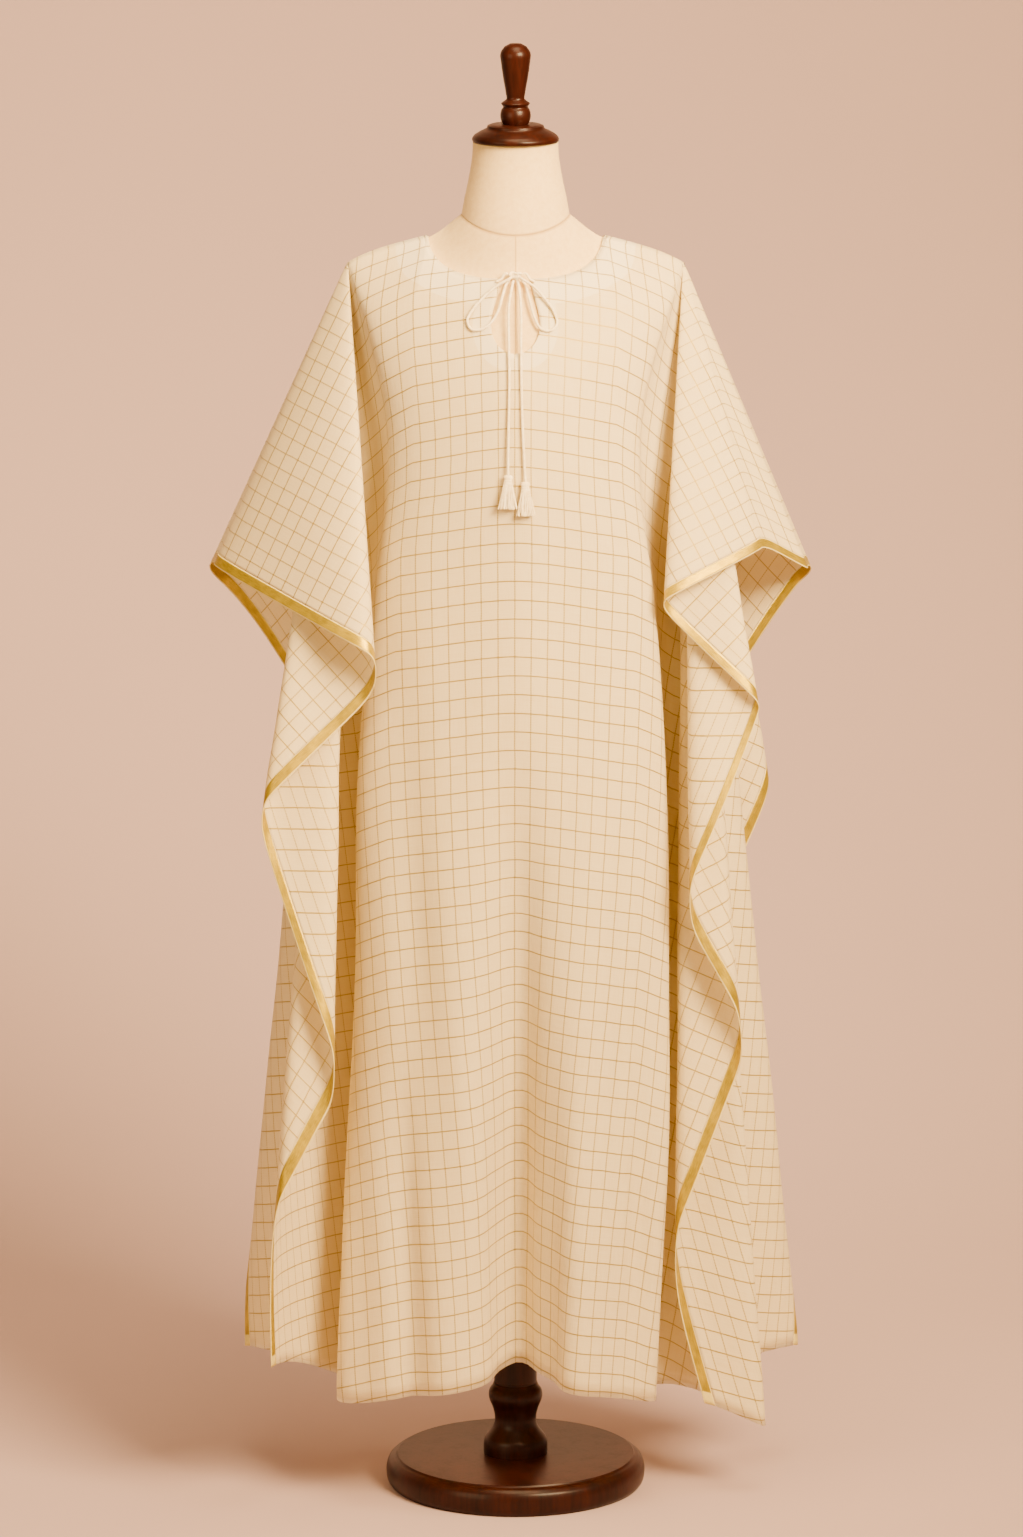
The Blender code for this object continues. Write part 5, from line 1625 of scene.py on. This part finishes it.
KNOT_EXITS: dict[str, list[tuple[float, float]]] = {
    "tie_stub": [(100, 0)],
    "tie_loop": [(75, 40), (58, 0)],
    "tie_end": [(25, 25)],
}


@dataclass
class Tie:
    """The neck tie: one twisted cord, knotted in a bow over the keyhole, with a tassel at each end."""

    drapes: dict[Hand, Drape]
    diameter: float = 0.0034
    plies: int = 3
    lay_length: float = 0.0085
    step: float = 0.0016
    knot_down: float = 0.090
    knot_lift: float = 0.0052
    knot_size: Point = (0.0180, 0.0110, 0.0130)
    knot_gap: float = 0.0005
    knot_lead: float = 0.0025
    tassel_length: float = 0.042
    tassel_lift: float = 0.0095
    head_length: float = 0.011
    head_radius: float = 0.0055
    pleats: int = 13
    pleat_depth: float = 0.05
    binding_turns: int = 5
    binding_radius: float = 0.00035
    thread_radius: float = 0.00042
    spread: float = 0.0126
    flat: float = 0.55
    threads: int = 170

    def over(self, way: Way) -> Array:
        """The place in space that a way names."""
        drape = self.drapes[Hand.RIGHT if way.across >= 0 else Hand.LEFT]
        u, v = np.array(abs(way.across)), np.array(way.down)
        return drape.point(u, v) + drape.normal(np.maximum(u, 1e-3), v) * way.lift

    @property
    def knot_middle(self) -> Array:
        """Centre of the knot, in front of the keyhole's top."""
        return self.over(Way(0.0, self.knot_down, self.knot_lift)) * [0, 1, 1]

    def exits(self, name: str) -> list[list[Array]]:
        """Where a cord leaves the knot.

        Args:
            name: The cord's name.

        Returns:
            For each exit, two places on the line that leaves the knot square to it.
        """
        kind, hand = name.rsplit("_", 1)
        side = 1 if hand == "right" else -1
        radii = np.array(self.knot_size) / 2
        out = []
        for around, ahead in KNOT_EXITS[kind]:
            a, f = math.radians(around), math.radians(ahead)
            line = np.array([side * math.sin(a) * math.cos(f), -math.sin(f), -math.cos(a) * math.cos(f)])
            surface = line / np.linalg.norm(line / radii)
            square = surface / radii ** 2
            square /= np.linalg.norm(square)
            gaps = (self.knot_gap, self.knot_gap + self.knot_lead)
            out.append([self.knot_middle + surface + square * gap for gap in gaps])
        return out

    def route(self, name: str) -> Array:
        """The route of one cord, from the knot.

        Args:
            name: The cord's name.

        Returns:
            Its points.
        """
        ends = self.exits(name)
        knots = ends[0] + [self.over(way) for way in CORD_WAYS[name]]
        if len(ends) > 1:
            knots += ends[1][::-1]
        return smooth_route(np.array(knots), self.step)

    def outline(self, angle: Array, along: Array) -> Array:
        """Radius of the twisted cord: its plies stand out as it turns."""
        turn = self.plies * (angle - 2 * math.pi * along / self.lay_length)
        return self.diameter / 2 * (0.93 + 0.12 * np.cos(turn))

    def build_cord(self, name: str) -> bpy.types.Object:
        """Args:
            name: Its name, which is its CAD node's.

        Returns:
            The piece.
        """
        points = self.route(name)
        bm = bmesh.new()
        add_tube(bm, points, self.outline, 18)
        bmesh.ops.recalc_face_normals(bm, faces=bm.faces)
        piece = finish_mesh(f"{name}_cord", bm, YARN, [name], 60)
        return piece

    def build_knot(self) -> bpy.types.Object:
        """Makes the knot as the cord's own turns, pulled tight.

        Returns:
            The piece.
        """
        t = np.linspace(0.0, 2 * math.pi, 150)
        across, height = (np.sin(t) + 2 * np.sin(2 * t)) / 3, (np.cos(t) - 2 * np.cos(2 * t)) / 3
        turns = np.stack([across, np.sin(3 * t), height], 1)
        room = (np.array(self.knot_size) - self.diameter) / 2
        points = self.knot_middle + turns * room * [1.0, 0.95, 0.95]
        bm = bmesh.new()
        add_tube(bm, points, self.outline, 16)
        core = bmesh.ops.create_icosphere(bm, subdivisions=3, radius=0.5)["verts"]
        bmesh.ops.scale(bm, vec=Vector(self.knot_size) * 0.66, verts=core)
        bmesh.ops.translate(bm, vec=Vector(self.knot_middle), verts=core)
        bmesh.ops.recalc_face_normals(bm, faces=bm.faces)
        return finish_mesh("bow_knot", bm, YARN, ["tie_knot"], 60)

    def build_tassel(self, hand: Hand, seed: int) -> bpy.types.Object:
        """Makes a tassel: a bound head, a waist of wrapped thread and a skirt of loose threads.

        Args:
            hand: Which cord end it hangs on.
            seed: Fixes how the threads fall.

        Returns:
            The piece.
        """
        name = f"tie_end_{hand.word}"
        last = CORD_WAYS[name][-1]
        top = self.route(name)[-1]
        tip = self.over(Way(last.across, last.down + self.tassel_length, self.tassel_lift))
        fall = (tip - top) / np.linalg.norm(tip - top)
        beside = np.cross([0.0, 1.0, 0.0], -fall)
        beside /= np.linalg.norm(beside)
        axes = np.stack([beside, np.cross(-fall, beside) * self.flat, fall])
        bm = bmesh.new()
        self.add_head(bm)
        self.add_threads(bm, np.random.default_rng(seed))
        for vert in bm.verts:
            vert.co = top + np.array(vert.co) @ axes
        bmesh.ops.recalc_face_normals(bm, faces=bm.faces)
        return finish_mesh(f"tassel_{hand.word}_threads", bm, YARN, [f"tassel_{hand.word}"], 60)

    def add_head(self, bm: bmesh.types.BMesh) -> None:
        """Adds the tassel's head and its binding, along +Z from the cord's end."""
        profile = [(0.0, 0.0), (0.45, 0.02), (0.80, 0.10), (0.98, 0.26), (1.0, 0.40), (0.86, 0.52),
                   (0.80, 0.58), (0.80, 0.76), (0.86, 0.82), (1.02, 1.0), (0.95, 1.08), (0.0, 1.08)]
        points = [bm.verts.new((self.head_radius * r, 0.0, self.head_length * z)) for r, z in profile]
        lines = [bm.edges.new(pair) for pair in zip(points[:-1], points[1:])]
        bmesh.ops.spin(bm, geom=[*points, *lines], axis=(0, 0, 1), cent=(0, 0, 0), dvec=(0, 0, 0),
                       angle=2 * math.pi, steps=40, use_merge=True, use_duplicate=False)
        bmesh.ops.remove_doubles(bm, verts=bm.verts, dist=TUBE_MERGE)
        for vert in bm.verts:
            turned = math.atan2(vert.co.y, vert.co.x)
            vert.co.xy *= 1.0 + self.pleat_depth * math.cos(self.pleats * turned)
        t = np.linspace(0.0, self.binding_turns * 2 * math.pi, 140)
        wrap = self.head_radius * 0.84
        height = self.head_length * (0.56 + 0.22 * t / t[-1])
        turns = np.stack([wrap * np.cos(t), wrap * np.sin(t), height], 1)
        add_tube(bm, turns, lambda angle, along: np.full(angle.shape, self.binding_radius), 6)

    def add_threads(self, bm: bmesh.types.BMesh, random: np.random.Generator) -> None:
        """Adds the loose threads, spread towards their tips.

        Args:
            bm: The tassel's mesh.
            random: Where and how each thread falls.
        """
        reach = self.tassel_length - self.head_length
        for _ in range(self.threads):
            share, angle = math.sqrt(random.uniform(0.02, 0.95)), random.uniform(0, 2 * math.pi)
            length = reach * random.uniform(0.93, 1.0)
            down = np.linspace(0.0, 1.0, 6)
            wide = share * (self.head_radius + (self.spread - self.head_radius) * down ** 1.15)
            sway = random.normal(0, 0.0004, 2)
            x = wide * math.cos(angle) + sway[0] * np.sin(down * math.pi)
            y = wide * math.sin(angle) + sway[1] * np.sin(down * math.pi)
            points = np.stack([x, y, self.head_length * 0.97 + length * down], 1)
            add_tube(bm, points, lambda turn, along: np.full(turn.shape, self.thread_radius), 4)


@dataclass(frozen=True)
class Ring:
    """A free ring of the form. square is 2 for an ellipse and more for a squarer one."""

    half: float
    front: float
    back: float
    square: float
    side_z: float
    front_z: float
    back_z: float

    def points(self, sides: int) -> Array:
        """Points round the ring from +X by the front.

        Args:
            sides: How many.

        Returns:
            The points.
        """
        angles = np.arange(sides) * 2 * math.pi / sides
        c, s = np.cos(angles), np.sin(angles)
        power = 2.0 / self.square
        x = self.half * np.sign(c) * np.abs(c) ** power
        ahead = s > 0
        y = np.where(ahead, -self.front, self.back) * np.abs(s) ** power
        fall = np.where(ahead, self.front_z, self.back_z) - self.side_z
        return np.stack([x, y, self.side_z + fall * np.abs(s) ** 1.6], 1)


@dataclass
class DressForm:
    """The limbless form: a linen-covered torso and neck."""

    drapes: dict[Face, dict[Hand, Drape]]
    sides: int = 112
    steps: int = 7
    inset: float = 0.0034
    neck_top: float = 1.6765
    neck_shift: float = -0.006
    gap: float = 0.0003
    seam_width: float = 0.0013
    seam_ring: Ring = Ring(0.0650, 0.062, 0.050, 2.0, 1.590, 1.572, 1.590)
    shoulder_rings: tuple[Point, ...] = (
        (0.108, 0.091, 0.075), (0.128, 0.112, 0.096), (0.148, 0.135, 0.120), (0.168, 0.165, 0.150),
        (0.188, 0.200, 0.185))
    torso_rings: tuple[Ring, ...] = (
        Ring(0.182, 0.112, 0.092, 2.0, 1.488, 1.395, 1.395),
        Ring(0.148, 0.124, 0.094, 2.0, 1.420, 1.335, 1.335),
        Ring(0.136, 0.126, 0.092, 2.1, 1.330, 1.280, 1.280),
        Ring(0.118, 0.104, 0.080, 2.2, 1.150, 1.135, 1.135),
        Ring(0.152, 0.110, 0.090, 2.2, 0.940, 0.940, 0.940),
        Ring(0.150, 0.105, 0.090, 2.2, 0.840, 0.840, 0.840))
    neck_rings: tuple[tuple[float, float], ...] = (
        (1.0, 0.0515), (0.85, 0.0520), (0.5, 0.0565), (0.2, 0.0620), (0.0, 0.0650))

    def shoulder_ring(self, half: float, front: float, back: float) -> Array:
        """A ring just inside the cloth.

        Args:
            half: Its reach along the shoulder fold.
            front: Its reach down the middle of the front.
            back: Its reach down the middle of the back.

        Returns:
            Its points.
        """
        angles = np.arange(self.sides) * 2 * math.pi / self.sides
        out = np.zeros((self.sides, 3))
        for face in Face:
            for hand in Hand:
                ahead = np.sin(angles) >= -1e-9 if face is Face.FRONT else np.sin(angles) < -1e-9
                mine = ahead & ((np.cos(angles) >= 0) == (hand is Hand.RIGHT))
                u = np.maximum(half * np.abs(np.cos(angles[mine])), 1e-6)
                v = (front if face is Face.FRONT else back) * np.abs(np.sin(angles[mine]))
                drape = self.drapes[face][hand]
                out[mine] = drape.point(u, v) - drape.normal(np.maximum(u, 1e-3), v) * self.inset
        out[np.abs(np.cos(angles)) < 1e-9, 0] = 0.0
        return out

    def stretch(self, rings: list[Array], k: int, shares: Array) -> list[Array]:
        """Smooth rings between two rings.

        Args:
            rings: All the rings from the top down.
            k: The upper one's number.
            shares: Where to put the new ones.

        Returns:
            The new rings.
        """
        chords = [np.linalg.norm(b - a, axis=1).mean() for a, b in zip(rings[:-1], rings[1:])]
        slopes = np.gradient(np.array(rings), np.concatenate([[0.0], np.cumsum(chords)]), axis=0) * chords[k]
        if k == len(self.shoulder_rings):
            # Below the shoulders the form falls straight away from the cloth.
            slopes[k] = rings[k + 1] - rings[k]
        return [hermite(rings[k], slopes[k], rings[k + 1], slopes[k + 1], np.array(t)) for t in shares]

    def closed(self, name: str, rings: Array, node: str, sewn_rings: Sequence[float],
               centre: bool) -> bpy.types.Object:
        """Makes a closed solid through rings.

        Args:
            name: The piece's name.
            rings: Its rings from the top down.
            node: The CAD node that it stands for.
            sewn_rings: How near each ring lies to the neck seam.
            centre: Whether a seam runs down the middle.

        Returns:
            The piece.
        """
        bm = bmesh.new()
        verts, across, down = grid(bm, self.sides, len(rings) - 1)
        row = np.round(down * (len(rings) - 1)).astype(int)
        col = np.round(across * self.sides).astype(int) % self.sides
        places = rings[row, col]
        if centre:
            self.gather_columns(places, row)
        near = np.array(sewn_rings)[row]
        if centre:
            near = np.maximum(near, np.clip(1.0 - np.abs(places[:, 0]) / self.seam_width, 0.0, 1.0))
        sewn = bm.verts.layers.float.new("sewn")
        for vert, place, share in zip(list(bm.verts), places, near):
            vert.co = place
            vert[sewn] = share
        bmesh.ops.remove_doubles(bm, verts=bm.verts, dist=SHORTEST_EDGE)
        bmesh.ops.holes_fill(bm, edges=[edge for edge in bm.edges if edge.is_boundary], sides=0)
        bmesh.ops.recalc_face_normals(bm, faces=bm.faces)
        return finish_mesh(name, bm, LINEN, [node], 50)

    def gather_columns(self, places: Array, row: Array) -> None:
        """Moves the columns beside the middle in towards it, so that the centre seam is a fine line.

        Args:
            places: Every point, which is changed.
            row: Its ring.
        """
        for k in range(int(row.max()) + 1):
            ring = np.flatnonzero(row == k)
            width = np.abs(places[ring, 0]).max()
            beside = (np.abs(places[ring, 0]) > 1e-5) & (np.abs(places[ring, 0]) < width * 0.07)
            places[ring[beside], 0] = np.sign(places[ring[beside], 0]) * self.seam_width

    def build(self) -> list[bpy.types.Object]:
        """Makes the torso and the neck.

        Returns:
            The pieces.
        """
        seam = self.seam_ring.points(self.sides)
        rings = [seam, *[self.shoulder_ring(*row) for row in self.shoulder_rings]]
        rings += [ring.points(self.sides) for ring in self.torso_rings]
        even = np.linspace(0, 1, self.steps + 1)[1:]
        below_seam = np.array([0.03, 0.06, 0.1, 0.2, 0.35, 0.5, 0.65, 0.8, 0.9, 1.0])
        made = [seam, *self.stretch(rings, 0, below_seam)]
        for a, b in zip(self.shoulder_rings[:-1], self.shoulder_rings[1:]):
            made += [self.shoulder_ring(*(np.array(a) + (np.array(b) - np.array(a)) * t)) for t in even]
        for k in range(len(self.shoulder_rings), len(rings) - 1):
            made += self.stretch(rings, k, even)
        sewn = (1.0, 0.5) + (0.0,) * (len(made) - 2)
        torso = self.closed("form_torso_cover", np.array(made), "form_torso", sewn, True)
        shares = np.array([1.0, 0.985, *np.linspace(0.95, 0.1, 18), 0.05, 0.022, 0.011, 0.0])
        known = np.array(self.neck_rings)[::-1]
        rings = []
        for share, half in zip(shares, smooth_table(shares, known[:, 0], known[:, 1])):
            size = half / self.seam_ring.half
            ring = seam.copy()
            ring[:, 2] = ring[:, 2] * (1 - share) + self.neck_top * share + self.gap * (1 - share)
            ring[:, 0] *= size
            ring[:, 1] = (ring[:, 1] - self.neck_shift) * size + self.neck_shift * (1 - share)
            rings.append(ring)
        sewn = (0.0,) * (len(rings) - 2) + (0.5, 1.0)
        neck = self.closed("form_neck_cover", np.array(rings), "form_neck", sewn, False)
        return [torso, neck]


@dataclass
class WoodenStand:
    """The turned wood: neck cap with its finial, pole, collar and base disc, as radius and height."""

    sides: int = 96
    cap: tuple[tuple[float, float], ...] = (
        (0.0, 1.6987), (0.0300, 1.6987), (0.0340, 1.6970), (0.0345, 1.6945), (0.0430, 1.6900),
        (0.0500, 1.6855), (0.0523, 1.6820), (0.0515, 1.6780), (0.0485, 1.6768), (0.0, 1.6768))
    finial: tuple[tuple[float, float], ...] = (
        (0.0, 1.7965), (0.0070, 1.7958), (0.0130, 1.7925), (0.0175, 1.7865), (0.0185, 1.7825),
        (0.0178, 1.7750), (0.0150, 1.7550), (0.0118, 1.7360), (0.0112, 1.7290), (0.0150, 1.7260),
        (0.0174, 1.7240), (0.0160, 1.7215), (0.0150, 1.7200), (0.0170, 1.7165), (0.0184, 1.7100),
        (0.0175, 1.7035), (0.0155, 1.6990), (0.0, 1.6990))
    pole: tuple[tuple[float, float], ...] = ((0.0, 0.8397), (0.0265, 0.8397), (0.0265, 0.1283), (0.0, 0.1283))
    collar: tuple[tuple[float, float], ...] = (
        (0.0, 0.1280), (0.0270, 0.1280), (0.0285, 0.1240), (0.0325, 0.1180), (0.0335, 0.1120),
        (0.0325, 0.1060), (0.0285, 0.0960), (0.0262, 0.0870), (0.0258, 0.0800), (0.0275, 0.0720),
        (0.0315, 0.0655), (0.0335, 0.0630), (0.0380, 0.0570), (0.0395, 0.0500), (0.0395, 0.0373),
        (0.0, 0.0373))
    base: tuple[tuple[float, float], ...] = (
        (0.0, 0.0370), (0.1470, 0.0370), (0.1485, 0.0350), (0.1530, 0.0335), (0.1580, 0.0290),
        (0.1605, 0.0220), (0.161, 0.0140), (0.1595, 0.0050), (0.1560, 0.0), (0.0, 0.0))

    def turn(self, name: str, profile: Sequence[tuple[float, float]], node: str) -> bpy.types.Object:
        """Turns one piece on the lathe.

        Args:
            name: The piece's name.
            profile: Radius and height from the top down.
            node: The CAD node that it stands for.

        Returns:
            The piece.
        """
        rows = np.array(profile)
        run = np.concatenate([[0.0], np.cumsum(np.linalg.norm(np.diff(rows, axis=0), axis=1))])
        inner = slice(1, len(rows) - 1)
        quarters = [run[1:-2] + (run[2:-1] - run[1:-2]) * t for t in (0.25, 0.5, 0.75)]
        at = np.sort(np.concatenate([run[inner], *quarters]))
        r = smooth_table(at, run[inner], rows[inner, 0]) if len(rows) > 5 else np.interp(at, run, rows[:, 0])
        z = np.interp(at, run, rows[:, 1])
        bm = bmesh.new()
        outline = [(0.0, rows[0, 1]), *zip(r, z), (0.0, rows[-1, 1])]
        points = [bm.verts.new((a, 0.0, b)) for a, b in outline]
        lines = [bm.edges.new(pair) for pair in zip(points[:-1], points[1:])]
        bmesh.ops.spin(bm, geom=[*points, *lines], axis=(0, 0, 1), cent=(0, 0, 0), dvec=(0, 0, 0),
                       angle=2 * math.pi, steps=self.sides, use_merge=True, use_duplicate=False)
        bmesh.ops.remove_doubles(bm, verts=bm.verts, dist=SHORTEST_EDGE)
        bmesh.ops.recalc_face_normals(bm, faces=bm.faces)
        return finish_mesh(name, bm, WOOD, [node], 40)

    def build(self) -> list[bpy.types.Object]:
        """Makes the five turned pieces.

        Returns:
            The pieces.
        """
        return [
            self.turn("neck_cap", self.cap, "cap"),
            self.turn("cap_finial", self.finial, "finial"),
            self.turn("stand_pole", self.pole, "pole"),
            self.turn("stand_collar", self.collar, "collar"),
            self.turn("stand_base", self.base, "base_disc"),
        ]


@dataclass(frozen=True)
class Lamp:
    """A soft square lamp: its power is in watts and the spread of its light in degrees."""

    name: str
    place: Point
    target: Point
    size: float
    power: float
    spread: float


LAMPS = [
    Lamp("key_light", (1.9, -2.6, 3.3), (0.0, 0.0, 1.75), 1.8, 185.0, 80.0),
    Lamp("fill_light", (-3.6, -4.2, 2.2), (0.0, 0.0, 1.0), 3.0, 150.0, 180.0),
    Lamp("top_light", (0.3, -0.8, 4.8), (0.0, -0.9, 0.0), 2.0, 200.0, 180.0),
]


@dataclass
class Studio:
    """The floor and backdrop, the lights and the camera."""

    half_width: float = 14.0
    front: float = -11.0
    back: float = 2.6
    curve: float = 1.6
    height: float = 7.0
    camera_y: float = -9.2
    camera_z: float = 2.8
    pitch: float = 11.5
    pixels_high: int = 1537
    focal_pixels: float = 7670.0
    shift_pixels: tuple[float, float] = (-4.0, -17.3)
    lamp_colour: str = "#ffd7a2"
    room_light: float = 0.40

    def build_backdrop(self) -> bpy.types.Object:
        """Makes the seamless floor and backdrop.

        Returns:
            The piece of stage.
        """
        bm = bmesh.new()
        verts, across, down = grid(bm, 1, 80)
        arc = self.curve * math.pi / 2
        flat = self.back - self.curve - self.front
        run = down * (flat + arc + self.height)
        angle = np.clip((run - flat) / self.curve, 0, math.pi / 2)
        y = self.front + np.minimum(run, flat) + self.curve * np.sin(angle)
        z = self.curve * (1 - np.cos(angle)) + np.maximum(run - flat - arc, 0.0)
        move_to(verts, np.stack([(across - 0.5) * 2 * self.half_width, y, z - 0.0002], 1))
        mesh = bpy.data.meshes.new("studio_backdrop")
        bm.to_mesh(mesh)
        bm.free()
        mesh.materials.append(PAPER.material())
        mesh.shade_smooth()
        made = bpy.data.objects.new("studio_backdrop", mesh)
        bpy.context.scene.collection.objects.link(made)
        return made

    def add_lamp(self, lamp: Lamp) -> None:
        """Adds a soft square lamp.

        Args:
            lamp: Its name, place, size and power.
        """
        data = bpy.data.lights.new(lamp.name, "AREA")
        data.shape = "SQUARE"
        data.size = lamp.size
        data.energy = lamp.power
        data.spread = math.radians(lamp.spread)
        data.color = tone(self.lamp_colour)[:3]
        made = bpy.data.objects.new(lamp.name, data)
        bpy.context.scene.collection.objects.link(made)
        made.location = lamp.place
        made.rotation_euler = (Vector(lamp.target) - Vector(lamp.place)).to_track_quat("-Z", "Y").to_euler()

    def build_lights(self) -> None:
        """Sets the soft key light, the fill, the top light and the room's light."""
        for lamp in LAMPS:
            self.add_lamp(lamp)
        world = bpy.data.worlds.new("studio_room")
        world.use_nodes = True
        sky = world.node_tree.nodes["Background"]
        sky.inputs["Color"].default_value = tone(self.lamp_colour)
        sky.inputs["Strength"].default_value = self.room_light
        bpy.context.scene.world = world

    def build_camera(self) -> None:
        """Sets the camera at the photograph's place."""
        data = bpy.data.cameras.new("photo_camera")
        camera = bpy.data.objects.new("photo_camera", data)
        bpy.context.scene.collection.objects.link(camera)
        data.sensor_fit = "VERTICAL"
        data.sensor_height = 36.0
        data.lens = 36.0 * self.focal_pixels / self.pixels_high
        data.shift_x = self.shift_pixels[0] / self.pixels_high
        data.shift_y = self.shift_pixels[1] / self.pixels_high
        camera.location = (0.0, self.camera_y, self.camera_z)
        camera.rotation_euler = (math.radians(90.0 - self.pitch), 0.0, 0.0)
        bpy.context.scene.camera = camera


@dataclass
class Kaftan:
    """The whole garment: two panels with their facings and bands, and the tie."""

    panels: dict[Face, Panel] = field(init=False)

    def __post_init__(self) -> None:
        """Drapes the front and the back."""
        self.panels = {face: Panel(face) for face in Face}

    @property
    def drapes(self) -> dict[Face, dict[Hand, Drape]]:
        """The draped halves of both panels."""
        return {face: panel.drapes for face, panel in self.panels.items()}

    def build_tie(self) -> list[bpy.types.Object]:
        """Makes the tie, each tassel before the cord that it hangs on.

        Returns:
            The pieces.
        """
        tie = Tie(self.panels[Face.FRONT].drapes)
        out = [tie.build_knot()]
        for hand in Hand:
            tassel = tie.build_tassel(hand, 7 + hand.value)
            out += [tassel, tie.build_cord(f"tie_end_{hand.word}")]
            out += [tie.build_cord(f"{kind}_{hand.word}") for kind in ("tie_loop", "tie_stub")]
        return out

    def build_cloth(self) -> list[bpy.types.Object]:
        """Returns:
            The pieces.
        """
        out = []
        for face, panel in self.panels.items():
            cloth, facing = panel.build(), panel.build_facing()
            bands = [EdgeBand(panel, hand).build() for hand in Hand]
            LOG.info("%s panel: flat area %.3f square metres", face.value, panel.flat_area)
            out += [cloth, facing, *bands]
        return out


def main() -> None:
    """Builds the studio, the garment's cords, its cloth, the form and the stand, and logs how many pieces it
    made.
    """
    logging.basicConfig(level=logging.INFO, format="%(message)s")
    studio = Studio()
    studio.build_camera()
    kaftan = Kaftan()
    pieces = kaftan.build_tie()
    pieces += DressForm(kaftan.drapes).build()
    pieces += kaftan.build_cloth()
    pieces += WoodenStand().build()
    studio.build_backdrop()
    studio.build_lights()
    LOG.info("%d pieces", len(pieces))


if __name__ == "__main__":
    main()
